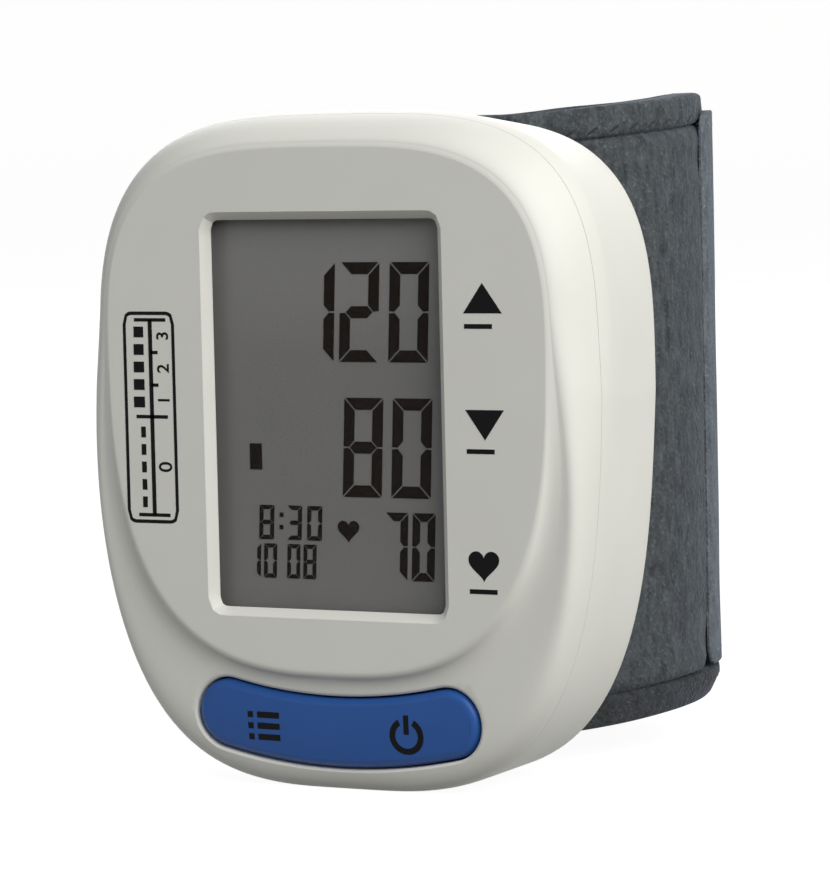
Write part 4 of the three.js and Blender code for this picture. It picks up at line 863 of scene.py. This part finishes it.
def numeral(text, x, z, size, turned):
    curve = bpy.data.curves.new("numeral", "FONT")
    curve.body, curve.size, curve.extrude = text, size, (inkBack - inkFront) / 2
    curve.align_x, curve.align_y = "CENTER", "CENTER"
    curve.offset = 0.03
    holder = bpy.data.objects.new("numeral", curve)
    bpy.context.scene.collection.objects.link(holder)
    mesh = bpy.data.meshes.new_from_object(holder.evaluated_get(bpy.context.evaluated_depsgraph_get()))
    bpy.data.objects.remove(holder)
    bpy.data.curves.remove(curve)
    bm = bmesh.new()
    bm.from_mesh(mesh)
    bpy.data.meshes.remove(mesh)
    place = (Matrix.Translation((x, (inkFront + inkBack) / 2, z)) @ Matrix.Rotation(math.radians(90), 4, "X")
             @ Matrix.Rotation(turned, 4, "Z"))
    bmesh.ops.transform(bm, matrix=place, verts=bm.verts[:])
    bmesh.ops.recalc_face_normals(bm, faces=bm.faces[:])
    return bm


scale = {
    "left": -27.2, "right": -20.0, "top": 12.2, "bottom": -13.2, "corner": 1.2, "stroke": 0.42,
    "line": -23.4, "lineWidth": 0.55, "crossEnds": (-25.6, -21.2), "crossUps": (11.2, -0.4, -12.2),
    "tickEnd": -22.4, "tickUps": (7.3, 3.4), "tickWidth": 0.4,
    "numberAcross": -21.6, "numbers": {"3": (9.3, 2.3), "2": (5.4, 2.3), "1": (1.6, 2.3), "0": (-6.4, 2.6)},
    "bars": 5, "barEnd": -24.35, "barPitch": 2.1, "barHeight": 1.3, "barTaper": 0.05,
    "wideBar": (-25.9, 0.7), "thinBar": (-25.0, -11.3),
}


def scaleBar(left, bottom):
    top = bottom + scale["barHeight"]
    return inkPlate([(left, bottom), (scale["barEnd"], bottom), (scale["barEnd"], top), (left, top)])


faceMarks = bmesh.new()
crossLeft, crossRight = scale["crossEnds"]
joinInto(faceMarks,
         frameStrip(scale["left"], scale["bottom"], scale["right"], scale["top"], scale["corner"],
                    scale["stroke"]),
         strip(scale["line"], scale["crossUps"][0], scale["line"], scale["crossUps"][-1],
               scale["lineWidth"]),
         *[strip(crossLeft, up, crossRight, up, scale["stroke"]) for up in scale["crossUps"]],
         *[strip(scale["line"], up, scale["tickEnd"], up, scale["tickWidth"]) for up in scale["tickUps"]],
         *[numeral(text, scale["numberAcross"], up, size, math.radians(90))
           for text, (up, size) in scale["numbers"].items()],
         # plain graded bars stand on the other side of the line
         *[scaleBar(scale["wideBar"][0] + scale["barTaper"] * k, scale["wideBar"][1] + scale["barPitch"] * k)
           for k in range(scale["bars"])],
         *[scaleBar(scale["thinBar"][0], scale["thinBar"][1] + scale["barPitch"] * k)
           for k in range(scale["bars"])])

# beside the display: a triangle up, a triangle down and a heart, each with a line below
label = {"left": 18.9, "middle": 21.4, "right": 23.9, "heartAcross": 20.9, "heartSize": 4.0,
         "line": (19.0, 22.6), "lineDown": 3.1, "lineWidth": 0.55, "ups": (13.7, -0.7, -16.9)}
upper, lower, pulse = label["ups"]
joinInto(faceMarks,
         inkPlate([(label["left"], upper - 1.6), (label["middle"], upper + 1.9),
                   (label["right"], upper - 1.6)]),
         inkPlate([(label["left"], lower + 1.7), (label["right"], lower + 1.7),
                   (label["middle"], lower - 1.8)]),
         heartShape(label["heartAcross"], pulse + 0.1, label["heartSize"], inkFront, inkBack),
         *[strip(label["line"][0], up - label["lineDown"], label["line"][1], up - label["lineDown"],
                 label["lineWidth"]) for up in label["ups"]])
addPiece("face_print", faceMarks, blackInk, "case")

# marks on the key bar lie on its crowned front: a list at the left, a power symbol at the right
keyMark = {"ring": (9.6, -37.5), "radius": 1.85, "stroke": 0.74, "open": 29, "ringSteps": 48,
           "stemUps": (-37.3, -35.0), "stemWidth": 0.66, "listUps": (-38.55, -37.2, -35.85),
           "lineEnds": (-10.55, -7.5), "dotEnds": (-11.85, -11.11)}


def ringArc(x, z, radius, width, start, end, steps):
    bm = bmesh.new()
    inner, outer = radius - width / 2, radius + width / 2
    corners = [(inner, inkFront), (outer, inkFront), (outer, inkBack), (inner, inkBack)]
    verts = [bm.verts.new((x + r, depth, z)) for r, depth in corners]
    faceMade = bm.faces.new(verts)
    bmesh.ops.rotate(bm, cent=(x, 0, z), verts=verts, matrix=Matrix.Rotation(-start, 3, "Y"))
    bmesh.ops.spin(bm, geom=[faceMade, *faceMade.edges, *verts], cent=(x, 0, z), axis=(0, -1, 0),
                   angle=end - start, steps=steps, use_merge=False)
    bmesh.ops.recalc_face_normals(bm, faces=bm.faces[:])
    return bm


keyMarks = bmesh.new()
ringAcross, ringUp = keyMark["ring"]
stemLow, stemHigh = keyMark["stemUps"]
joinInto(keyMarks,
         ringArc(ringAcross, ringUp, keyMark["radius"], keyMark["stroke"],
                 math.radians(90 + keyMark["open"]), math.radians(450 - keyMark["open"]),
                 keyMark["ringSteps"]),
         strip(ringAcross, stemLow, ringAcross, stemHigh, keyMark["stemWidth"]),
         *[strip(left, up, right, up, keyMark["stroke"])
           for left, right in (keyMark["lineEnds"], keyMark["dotEnds"]) for up in keyMark["listUps"]])
bmesh.ops.subdivide_edges(keyMarks, edges=[e for e in keyMarks.edges if e.calc_length() > 1.2], cuts=6,
                          use_grid_fill=True)
for v in keyMarks.verts:
    v.co.y += barFront(Vector((v.co.x, v.co.z)))
addPiece("key_print", keyMarks, blackInk, "key_bar")
print("marks made")

# the cuff: a padded roll with turned hems, its lining, bladder, and the flap that closes it

cuff = {
    "centre": 48.6, "bottom": -41.3, "top": 34.6, "wrist": 21.0, "wall": 23.5, "panel": 24.7, "puff": 0.1,
    "hemOut": 24.35, "hem": 3.8, "corner": 0.75, "hemBulge": 0.12, "seam": 0.55, "flare": 1.0,
    "topFlare": 0.25, "wave": 0.16, "pillow": 0.16, "ripple": 0.18, "lift": 2.2, "liftTurn": 28,
    "start": 90.0, "end": -269.98, "steps": 360,
}
lowSeam, highSeam = cuff["bottom"] + cuff["hem"], cuff["top"] - cuff["hem"]


def polar(radius, degrees, z):
    turn = math.radians(degrees)
    return Vector((radius * math.cos(turn), cuff["centre"] + radius * math.sin(turn), z))


def ringSweep(profile, start, end, steps, shape=lambda r, degrees, z: (r, degrees, z)):
    # a closed profile of (radius, up) spun round the wrist, then pushed about by shape
    bm = bmesh.new()
    verts = [bm.verts.new((r, 0, z)) for r, z in profile]
    edges = [bm.edges.new((a, b)) for a, b in zip(verts, verts[1:] + verts[:1])]
    made = bmesh.ops.spin(bm, geom=[*verts, *edges], cent=(0, 0, 0), axis=(0, 0, 1),
                          angle=math.radians(end - start), steps=steps, use_merge=False, use_duplicate=False)
    bmesh.ops.contextual_create(bm, geom=edges)
    bmesh.ops.contextual_create(bm, geom=[g for g in made["geom_last"] if isinstance(g, bmesh.types.BMEdge)])
    span = end - start
    for v in bm.verts:
        degrees = math.degrees(math.atan2(v.co.y, v.co.x))
        if span < 0:
            degrees = -degrees
        if degrees < -0.001:
            degrees += 360
        # the angle runs from start, whichever way the roll goes
        radius, z = math.hypot(v.co.x, v.co.y), v.co.z
        turned = start + math.copysign(degrees, span)
        v.co = polar(*shape(radius, turned, z))
    bmesh.ops.recalc_face_normals(bm, faces=bm.faces[:])
    return bm


def awayFromCase(degrees):
    # 0 against the case, 1 at the free sides of the roll
    return smoothStep(90 + math.degrees(math.asin(math.sin(math.radians(degrees)))), 50, 100)


stitch = {"pitch": 3.0, "length": 2.2, "width": 0.48, "thick": 0.3, "slant": 0.5, "inset": 0.95,
          "sink": 0.02, "flapSink": 0.11}


def seamRow(z):
    # the height of the row of stitches that belongs to the nearer hem
    if z > 0:
        return highSeam + stitch["inset"]
    return lowSeam - stitch["inset"]


def liftOf(degrees):
    # the closed side of the roll, to the right, stands a little higher than the rest
    return cuff["lift"] * max(0.0, math.cos(math.radians(degrees - cuff["liftTurn"]))) ** 1.25


def cuffProfile():
    # the roll's section: hems turned round both edges, a seam groove beside each and the panel between
    bottom, top, corner, rise = cuff["bottom"], cuff["top"], cuff["corner"], cuff["hem"] - cuff["corner"]
    outer, panel, wrist, wall = cuff["hemOut"], cuff["panel"], cuff["wrist"], cuff["wall"]
    turns = [k * math.pi / 10 for k in range(0, 6)]
    edge = [(wrist + corner * (1 - math.sin(a)), bottom + corner * (1 - math.cos(a)))
            for a in reversed(turns[1:])]
    edge += [(outer - corner * (1 - math.sin(a)), bottom + corner * (1 - math.cos(a))) for a in turns]
    edge += [(outer + cuff["hemBulge"] * math.sin(math.pi * k / 6), bottom + corner + rise * k / 6)
             for k in range(1, 6)]
    edge += [(outer - 0.1, lowSeam - 0.15), (outer - cuff["seam"], lowSeam + 0.1),
             (outer - 0.1, lowSeam + 0.42), (panel - 0.12, lowSeam + 0.9), (panel, lowSeam + 1.6)]
    body = [(panel + cuff["puff"] * math.sin(math.pi * k / 24) ** 0.6,
             mix(lowSeam + 1.6, highSeam - 1.6, k / 24)) for k in range(1, 24)]
    upper = [(r, bottom + top - z) for r, z in reversed(edge)]
    inside = [(wrist, highSeam), (wrist + 0.6, highSeam), (wall, highSeam - 0.5),
              (wall, lowSeam + 0.5), (wrist + 0.6, lowSeam), (wrist, lowSeam)]
    return edge + body + upper + inside


# the outer panel's padding is let swell between the hems as cloth that is held along its seams
padding = {
    "columns": 150, "rows": 36, "low": lowSeam + 0.5, "high": highSeam - 0.5, "simScale": 0.02,
    "uneven": 0.24, "pressure": 4, "quality": 6, "bending": 0.5, "spare": 0.006, "frames": 20,
    "cap": (-0.1, 0.36),
}


def simulatedSwell():
    # how far each place of the panel rises, in millimetres
    bm = bmesh.new()
    bmesh.ops.create_grid(bm, x_segments=padding["columns"], y_segments=padding["rows"], size=1)
    shares = [((v.co.x + 1) / 2, (v.co.y + 1) / 2) for v in bm.verts]
    for v, (across, up) in zip(bm.verts, shares):
        degrees, z = mix(cuff["start"], cuff["end"], across), mix(padding["low"], padding["high"], up)
        uneven = padding["uneven"] * up * (1 - up) * noise.noise(Vector((degrees / 9, z / 7, 4.4)))
        v.co = polar(cuff["panel"] + uneven, degrees, z) * padding["simScale"]
    bmesh.ops.reverse_faces(bm, faces=bm.faces[:])
    panel = objectOf(bm, "padding")
    held = panel.vertex_groups.new(name="held")
    held.add([i for i, s in enumerate(shares) if min(*s) < 0.001 or max(*s) > 0.999], 1.0, "REPLACE")
    cloth = panel.modifiers.new("cloth", "CLOTH")
    cloth.settings.quality = padding["quality"]
    cloth.settings.bending_stiffness = padding["bending"]
    cloth.settings.vertex_group_mass = held.name
    cloth.settings.use_pressure = True
    cloth.settings.uniform_pressure_force = padding["pressure"]
    cloth.settings.shrink_min = -padding["spare"]
    cloth.settings.shrink_max = -padding["spare"]
    cloth.settings.effector_weights.gravity = 0
    cloth.point_cache.frame_start, cloth.point_cache.frame_end = 1, padding["frames"]
    for step in range(1, padding["frames"] + 1):
        bpy.context.scene.frame_set(step)
    swollen = panel.evaluated_get(bpy.context.evaluated_depsgraph_get()).data
    rise = {}
    for v, (across, up) in zip(swollen.vertices, shares):
        place = v.co / padding["simScale"]
        out = math.hypot(place.x, place.y - cuff["centre"]) - cuff["panel"]
        spot = (round(across * padding["columns"]), round(up * padding["rows"]))
        rise[spot] = min(padding["cap"][1], max(padding["cap"][0], out))
    dropObject(panel)
    bpy.context.scene.frame_set(1)
    return rise


swell = simulatedSwell()
print("padding simulated:", len(swell), "places, up to", round(max(swell.values(), default=0), 2), "mm")


def swellAt(degrees, z):
    # the simulated rise, read between its places
    across = (cuff["start"] - degrees) / (cuff["start"] - cuff["end"]) * padding["columns"]
    up = (z - padding["low"]) / (padding["high"] - padding["low"]) * padding["rows"]
    if not swell or not 0 < up < padding["rows"]:
        return 0.0
    i, j = min(int(across), padding["columns"] - 1), int(up)
    left, right = [mix(swell[k, j], swell[k, j + 1], up - j) for k in (i, i + 1)]
    return mix(left, right, across - i)


# the lower hem stands out most at its seam and draws the panel out with it; between the flap's two ends,
# given in degrees, the hem alone stands out, until it is flush with the flap
lip = {"flapEnd": (2, 11), "flapRoot": (99, 108), "start": -1.5, "openFade": (0.5, 4),
       "coveredFade": (-0.1, 0.3), "coveredGain": 0.4}


def hemLip(degrees, z):
    turn = degrees + 360 if degrees < -90 else degrees
    covered = smoothStep(turn, *lip["flapEnd"]) * (1 - smoothStep(turn, *lip["flapRoot"]))
    openFade, coveredFade = [smoothStep(z, lowSeam + near, lowSeam + away)
                             for near, away in (lip["openFade"], lip["coveredFade"])]
    rise = smoothStep(z, cuff["bottom"] + lip["start"], lowSeam)
    return rise * (1 - mix(openFade, coveredFade, covered)) * (1 + lip["coveredGain"] * covered)


def cuffShape(radius, degrees, z):
    # soft waves of the padding, its swell, and the hems, which flare a little
    free = awayFromCase(degrees)
    turn = math.radians(degrees)
    wave = noise.fractal(Vector((math.cos(turn) * 2.1, math.sin(turn) * 2.1, z / 16)), 0.8, 2.0, 3)
    outside = smoothStep(radius, cuff["wall"] - 0.2, cuff["hemOut"])
    toBottom = 1 - smoothStep(z, cuff["bottom"] + 0.5, lowSeam + 3)
    toTop = smoothStep(z, highSeam - 3, cuff["top"] - 0.5)
    flare = cuff["flare"] * hemLip(degrees, z) + cuff["topFlare"] * toTop
    radius += outside * free * (cuff["wave"] * wave + flare)
    # between two stitches the hem's edge swells out over the seam
    arc = math.radians(cuff["start"] - degrees) * cuff["hemOut"]
    pillow = max(0.0, 1 - abs(z - seamRow(z)) / 1.3) * abs(math.sin(math.pi * arc / stitch["pitch"]))
    radius += outside * (cuff["pillow"] * pillow + swellAt(degrees, z))
    ripple = noise.noise(Vector((degrees / 21, z / 30, 3.7)))
    return radius, degrees, z + liftOf(degrees) + cuff["ripple"] * free * ripple * (toBottom + toTop)


cuffBody = ringSweep(cuffProfile(), cuff["start"], cuff["end"], cuff["steps"], cuffShape)
cuffRoll = addPiece("cuff_padded_roll", cuffBody, slateLoop, "case", ["cuff_outer"], 60)
# painted shade: the lower hem takes a darker copy of the loop fabric, for the shade it lies in
cuffRoll.data.materials.append(hemFabricPaintedShade)
for polygon in cuffRoll.data.polygons:
    place = fromFrame @ polygon.center
    degrees = math.degrees(math.atan2(place.y - cuff["centre"], place.x))
    if place.z - liftOf(degrees) < lowSeam + 0.1:
        polygon.material_index = 1


def column(radius, start, end, rows):
    # evenly spaced places at one radius, without the two ends
    return [(radius, mix(start, end, k / rows)) for k in range(1, rows)]


# inner and outer are distances from the wrist's side of the roll
lining = {"inner": 0.12, "outer": 0.42, "inset": 0.2, "rows": 20, "start": cuff["start"] - 0.2,
          "end": cuff["end"] + 0.2, "wave": 0.12, "steps": 240}


def liningShape(radius, degrees, z):
    ease = lining["wave"] * noise.noise(Vector((degrees / 25, z / 14, 1.2)))
    return radius - ease, degrees, z + liftOf(degrees)


near, away = cuff["wrist"] + lining["inner"], cuff["wrist"] + lining["outer"]
low, high = lowSeam + lining["inset"], highSeam - lining["inset"]
liningProfile = ([(near, low), *column(near, lowSeam, highSeam, lining["rows"]), (near, high)]
                 + [(away, high), *column(away, highSeam, lowSeam, lining["rows"]), (away, low)])
liningBody = ringSweep(liningProfile, lining["start"], lining["end"], lining["steps"], liningShape)
liningSheet = addPiece("cuff_lining_sheet", liningBody, liningNylon, "case",
                       ["cuff_lining"], 60)

bladder = {
    "inner": 21.8, "bottom": -34.5, "corner": 0.3,
    "outline": [(22.4, -34.1), (22.5, -33.6), (22.5, 26.9), (22.4, 27.4), (22.1, 27.8), (21.8, 27.5)],
    "start": -200, "end": 20, "steps": 160,
    "tubeUp": 20.0, "tubeRadius": (1.4, 2.0), "tubeDepth": (20.0, 26.4), "boreDepth": (19.0, 26.2),
}
bagProfile = [(bladder["inner"] + bladder["corner"] * (1 - math.cos(a)),
               bladder["bottom"] + bladder["corner"] * (1 - math.sin(a))) for a in (0, 0.8, 1.57)]
bagBody = ringSweep(bagProfile + bladder["outline"], bladder["start"], bladder["end"], bladder["steps"])
tube = rod(bladder["tubeRadius"][1], 0, bladder["tubeUp"], *bladder["tubeDepth"], 32)
bore = rod(bladder["tubeRadius"][0], 0, bladder["tubeUp"], *bladder["boreDepth"], 32)
joinInto(bagBody, combined(tube, [("DIFFERENCE", bore)]))
bag = addPiece("cuff_bladder_bag", bagBody, blackRubber, "case", ["cuff_bladder"], 50)

# press and thinning ease the flap down to the roll over runs of its arc, from its free end and its root
flap = {
    "root": 97.5, "end": 10.5, "inner": 25.42, "middle": 25.8, "outer": 26.08, "bottom": -37.2, "top": 32.4,
    "corner": 2.2, "edge": (0.16, 0.2), "wave": 0.1, "press": 0.38, "thinning": 0.34,
    "endRuns": (7.0, 1.6), "rootRuns": (9.0, 2.5), "rows": 28, "steps": 150,
}


def flapShape(radius, degrees, z):
    # the free end is cut with round corners, and lies down on the roll
    half, middle = (flap["top"] - flap["bottom"]) / 2, (flap["top"] + flap["bottom"]) / 2
    fromEnd = math.radians(degrees - flap["end"]) * flap["middle"]
    fromRoot = math.radians(flap["root"] - degrees) * flap["middle"]
    near = max(0.0, flap["corner"] - fromEnd)
    pull = flap["corner"] - math.sqrt(max(0, flap["corner"] ** 2 - near ** 2))
    z = middle + (z - middle) * (half - pull) / half
    thick = smoothStep(radius, flap["inner"], flap["outer"])
    rise = flap["wave"] * noise.noise(Vector((degrees / 17, z / 13, 8.1))) * thick
    for run, (pressRun, thinRun) in ((fromEnd, flap["endRuns"]), (fromRoot, flap["rootRuns"])):
        rise -= flap["press"] * (1 - smoothStep(run, 0.0, pressRun))
        rise -= flap["thinning"] * thick * (1 - smoothStep(run, 0.0, thinRun))
    return radius + rise, degrees, z + liftOf(degrees)


def flapProfile():
    # the flap's section, with eased edges at the bottom and the top
    inner, outer, bottom, top, rows = [flap[key] for key in ("inner", "outer", "bottom", "top", "rows")]
    across, up = flap["edge"]
    return [(inner + across, bottom), (outer - across, bottom), (outer, bottom + up),
            *column(outer, bottom + up, top - up, rows), (outer, top - up), (outer - across, top),
            (inner + across, top), (inner, top - up), *column(inner, top - up, bottom + up, rows),
            (inner, bottom + up)]


flapBody = ringSweep(flapProfile(), flap["root"], flap["end"], flap["steps"], flapShape)
flapSheet = addPiece("cuff_flap_strap", flapBody, paintedLightStrapLoop, "flap", ["cuff_flap"], 60)

hook = {"inner": 24.98, "outer": 25.32, "bottom": -31.3, "top": 24.4, "start": 60, "end": 15, "steps": 70}
hookProfile = [(hook["inner"], hook["bottom"]), (hook["outer"], hook["bottom"]),
               (hook["outer"], hook["top"]), (hook["inner"], hook["top"])]
hookBody = ringSweep(hookProfile, hook["start"], hook["end"], hook["steps"],
                     lambda radius, degrees, z: (radius, degrees, z + liftOf(degrees)))
hookPatch = addPiece("flap_hook_tape", hookBody, hookTapeBlack, "flap", ["hook_patch"], 60)


def stitches(places, lean):
    # one short thread for each place: (radius, degrees, up, whether it lies round the wrist)
    bm = bmesh.new()
    for radius, degrees, z, along in places:
        one = bmesh.new()
        bmesh.ops.create_uvsphere(one, u_segments=8, v_segments=6, radius=0.5)
        size = Matrix.Diagonal((stitch["thick"], stitch["width"], stitch["length"], 1))
        turn = Matrix.Rotation(math.radians(90 if along else 0) + lean, 4, "X")
        out = Matrix.Rotation(math.radians(degrees), 4, "Z")
        place = Matrix.Translation(polar(radius, degrees, z)) @ out @ turn @ size
        bmesh.ops.transform(one, matrix=place, verts=one.verts[:])
        joinInto(bm, one)
    return bm


hemRow, stitchTurn = [], math.degrees(stitch["pitch"] / cuff["hemOut"])
for height in (cuff["top"], cuff["bottom"]):
    degrees = cuff["start"] - stitchTurn
    while degrees > cuff["end"] + 1:
        radius, _, z = cuffShape(cuff["hemOut"] + 0.1, degrees, seamRow(height))
        hemRow.append((radius - stitch["sink"], degrees, z, True))
        degrees -= stitchTurn
addPiece("hem_stitches", stitches(hemRow, stitch["slant"]), stitchThread, "case",
         sharpAngle=80)

# rows along both edges of the flap, and upright rows that hold its hook tape and its root
seams = {"fromEdge": 1.7, "edgeStart": 2, "edgeEnd": 7, "uprights": (flap["end"] + 3.6, flap["root"] - 4.5),
         "uprightInset": (3.4, 3)}
flapRow = []
for z in (flap["top"] - seams["fromEdge"], flap["bottom"] + seams["fromEdge"]):
    degrees = flap["root"] - seams["edgeStart"]
    while degrees > flap["end"] + seams["edgeEnd"]:
        flapRow.append((degrees, z, True))
        degrees -= stitchTurn
for degrees in seams["uprights"]:
    z = flap["bottom"] + seams["uprightInset"][0]
    while z < flap["top"] - seams["uprightInset"][1]:
        flapRow.append((degrees, z, False))
        z += stitch["pitch"]
places = []
for degrees, z, along in flapRow:
    radius, _, up = flapShape(flap["outer"], degrees, z)
    places.append((radius - stitch["flapSink"], degrees, up, along))
flapStitches = addPiece("flap_stitches", stitches(places, 0.0), strapThread, "flap",
                        sharpAngle=80)
print("cuff made")

# the two AAA cells: a foil jacket with a pale band at the raised end, shrunk over both steel ends

cell = {"nubRadius": 1.9, "nubHeight": 1.0, "rim": 0.9, "sink": 0.12, "band": 11.0, "steps": 72}


def aaaCell(name, node, nubUp):
    low, high = [fromFrame @ Vector(corner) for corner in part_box(node)]
    x, depth = (low.x + high.x) / 2, (low.y + high.y) / 2
    radius, length = (high.x - low.x) / 2, high.z - low.z
    shoulder, rim = length - cell["nubHeight"], radius - cell["rim"]
    nub, sink = cell["nubRadius"], cell["sink"]
    outline = [(0.5, sink), (rim - 0.1, sink), (rim, 0.0), (radius - 0.4, 0.0), (radius - 0.1, sink),
               (radius, 0.45), (radius, shoulder - cell["band"]), (radius, shoulder - 0.45),
               (radius - 0.1, shoulder - sink), (radius - 0.4, shoulder), (rim, shoulder),
               (rim - 0.1, shoulder - sink), (nub + 0.2, shoulder - sink), (nub, shoulder + 0.1),
               (nub, length - 0.2), (nub - 0.2, length), (0.5, length)]

    def spot(share, station):
        reach, along = station
        turn = 2 * math.pi * share
        return Vector((x + reach * math.cos(turn), depth + reach * math.sin(turn),
                       low.z + along if nubUp else high.z - along))

    body = sweep(outline, spot, cell["steps"])
    piece = addPiece(name, body, cellJacket, "case", [node], 30)
    piece.data.materials.append(cellBand)
    piece.data.materials.append(plated)
    for polygon in piece.data.polygons:
        place = fromFrame @ polygon.center
        along = place.z - low.z if nubUp else high.z - place.z
        if math.hypot(place.x - x, place.y - depth) < rim - 0.02:
            polygon.material_index = 2
        elif along > shoulder - cell["band"]:
            polygon.material_index = 1


aaaCell("cell_outer", "battery_outer", True)
aaaCell("cell_inner", "battery_inner", False)
print("cells made")

# finishes of the parts that keep their own shape

nodeFinishes = [
    (acrylic, ["display_window"]), (lcdGrey, ["lcd_glass"]), (greenBoard, ["circuit_board"]),
    (blackRubber, ["zebra_strip"]), (blackPlastic, ["main_chip", "buzzer"]), (springSheet, ["cuff_stay"]),
    (naturalNylon, ["lcd_frame", "button_pivot_bracket", "pump_head", "pressure_sensor", "air_manifold"]),
    (siliconeTube, ["hose_pump", "hose_valve", "hose_sensor"]),
    (plated, ["tact_switch_left", "tact_switch_right", "contact_spring_outer", "contact_spring_inner",
              "contact_plate_top", "contact_plate_bottom_outer", "contact_plate_bottom_inner",
              "pump_motor", "pump_shaft", "exhaust_valve", *[f"stay_clip_{k}" for k in (1, 2, 3, 4)]]),
    (brightZinc, [*[f"case_screw_{k}" for k in (1, 2, 3, 4)], *[f"board_screw_{k}" for k in (1, 2, 3)]]),
]
for finish, names in nodeFinishes:
    for name in names:
        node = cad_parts[name]
        node.data.materials.clear()
        node.data.materials.append(finish)

# floor, backdrop, light and camera

studio = {"floor": "#72726F", "size": 8.0, "wall": 3.0, "bend": 0.3, "lift": 0.94, "air": "#F6F7FA",
          "airPower": 0.36, "aimUp": 0.042}


def paperSweep():
    # seamless paper: white, brighter for the camera, and still holding the shadow
    material, tree = startMaterial("seamless_white_paper")
    rays = addNode(tree, "ShaderNodeLightPath")
    seen = addNode(tree, "ShaderNodeMath", {0: rays.outputs["Is Camera Ray"],
                                            1: rays.outputs["Is Glossy Ray"]}, operation="MAXIMUM")
    seen = addNode(tree, "ShaderNodeMath", {0: seen.outputs[0], 1: rays.outputs["Is Transmission Ray"]},
                   operation="MAXIMUM")
    strength = addNode(tree, "ShaderNodeMath", {0: seen.outputs[0], 1: studio["lift"]}, operation="MULTIPLY")
    paper = addNode(tree, "ShaderNodeBsdfDiffuse", {"Color": linearColour(studio["floor"])})
    glow = addNode(tree, "ShaderNodeEmission", {"Color": linearColour("#FFFFFF"),
                                                "Strength": strength.outputs[0]})
    both = addNode(tree, "ShaderNodeAddShader", {0: paper.outputs[0], 1: glow.outputs[0]})
    addNode(tree, "ShaderNodeOutputMaterial", {"Surface": both.outputs[0]})
    return material


paperMesh = bmesh.new()
start = [paperMesh.verts.new((-studio["size"] / 2, y, z)) for y, z in
         ((-studio["size"] / 2, 0), (studio["wall"], 0), (studio["wall"], studio["size"] / 2))]
for a, b in zip(start, start[1:]):
    paperMesh.edges.new((a, b))
bmesh.ops.bevel(paperMesh, geom=[start[1]], affect="VERTICES", offset=studio["bend"], segments=12,
                profile=0.5, material=-1)
made = bmesh.ops.extrude_edge_only(paperMesh, edges=paperMesh.edges[:])["geom"]
bmesh.ops.translate(paperMesh, verts=vertsOf(made), vec=(studio["size"], 0, 0))
bmesh.ops.recalc_face_normals(paperMesh, faces=paperMesh.faces[:])
paper = objectOf(paperMesh, "paper_sweep")
paper.data.materials.append(paperSweep())
paper.data.shade_smooth()

world = bpy.data.worlds.new("studio")
bpy.context.scene.world = world
world.use_nodes = True
world.node_tree.nodes.clear()
air = addNode(world.node_tree, "ShaderNodeBackground", {"Color": linearColour(studio["air"]),
                                                        "Strength": studio["airPower"]})
addNode(world.node_tree, "ShaderNodeOutputWorld", {"Surface": air.outputs[0]})

lamps = {
    "key": {"place": (0.81, -0.33, 0.61), "size": 1.2, "power": 12.4, "tone": "#FFFFFC"},
    "back": {"place": (-0.45, 1.05, 0.5), "size": 0.9, "power": 5.5, "tone": "#FFFFFF"},
    "fill": {"place": (-0.5, -0.8, 0.35), "size": 0.6, "power": 0.6, "tone": "#F4F6FF"},
}
aim = Vector((0, 0, studio["aimUp"]))
for name, lamp in lamps.items():
    light = bpy.data.lights.new(name, "AREA")
    light.shape, light.size, light.energy = "DISK", lamp["size"], lamp["power"]
    light.color = linearColour(lamp["tone"])[:3]
    holder = bpy.data.objects.new(name, light)
    bpy.context.scene.collection.objects.link(holder)
    holder.location = lamp["place"]
    holder.rotation_euler = (Vector(lamp["place"]) - aim).to_track_quat("Z", "Y").to_euler()

view = {"azimuth": 28.4, "elevation": 4.5, "roll": -1.3, "distance": 0.5, "target": (10.58, 3.07, -3.45),
        "lens": 173.5}
azimuth, elevation = math.radians(view["azimuth"]), math.radians(view["elevation"])
backwards = Vector((math.sin(azimuth) * math.cos(elevation), -math.cos(azimuth) * math.cos(elevation),
                    math.sin(elevation)))
camera = bpy.data.objects.new("camera", bpy.data.cameras.new("camera"))
bpy.context.scene.collection.objects.link(camera)
camera.data.lens = view["lens"]
camera.data.clip_start, camera.data.clip_end = 0.01, 20
camera.location = toFrame @ Vector(view["target"]) + backwards * view["distance"]
camera.rotation_mode = "QUATERNION"
camera.rotation_quaternion = (backwards.to_track_quat("Z", "Y").to_matrix()
                              @ Matrix.Rotation(math.radians(view["roll"]), 3, "Z")).to_quaternion()
bpy.context.scene.camera = camera
bpy.context.scene.view_settings.view_transform = "Standard"
print("studio made")
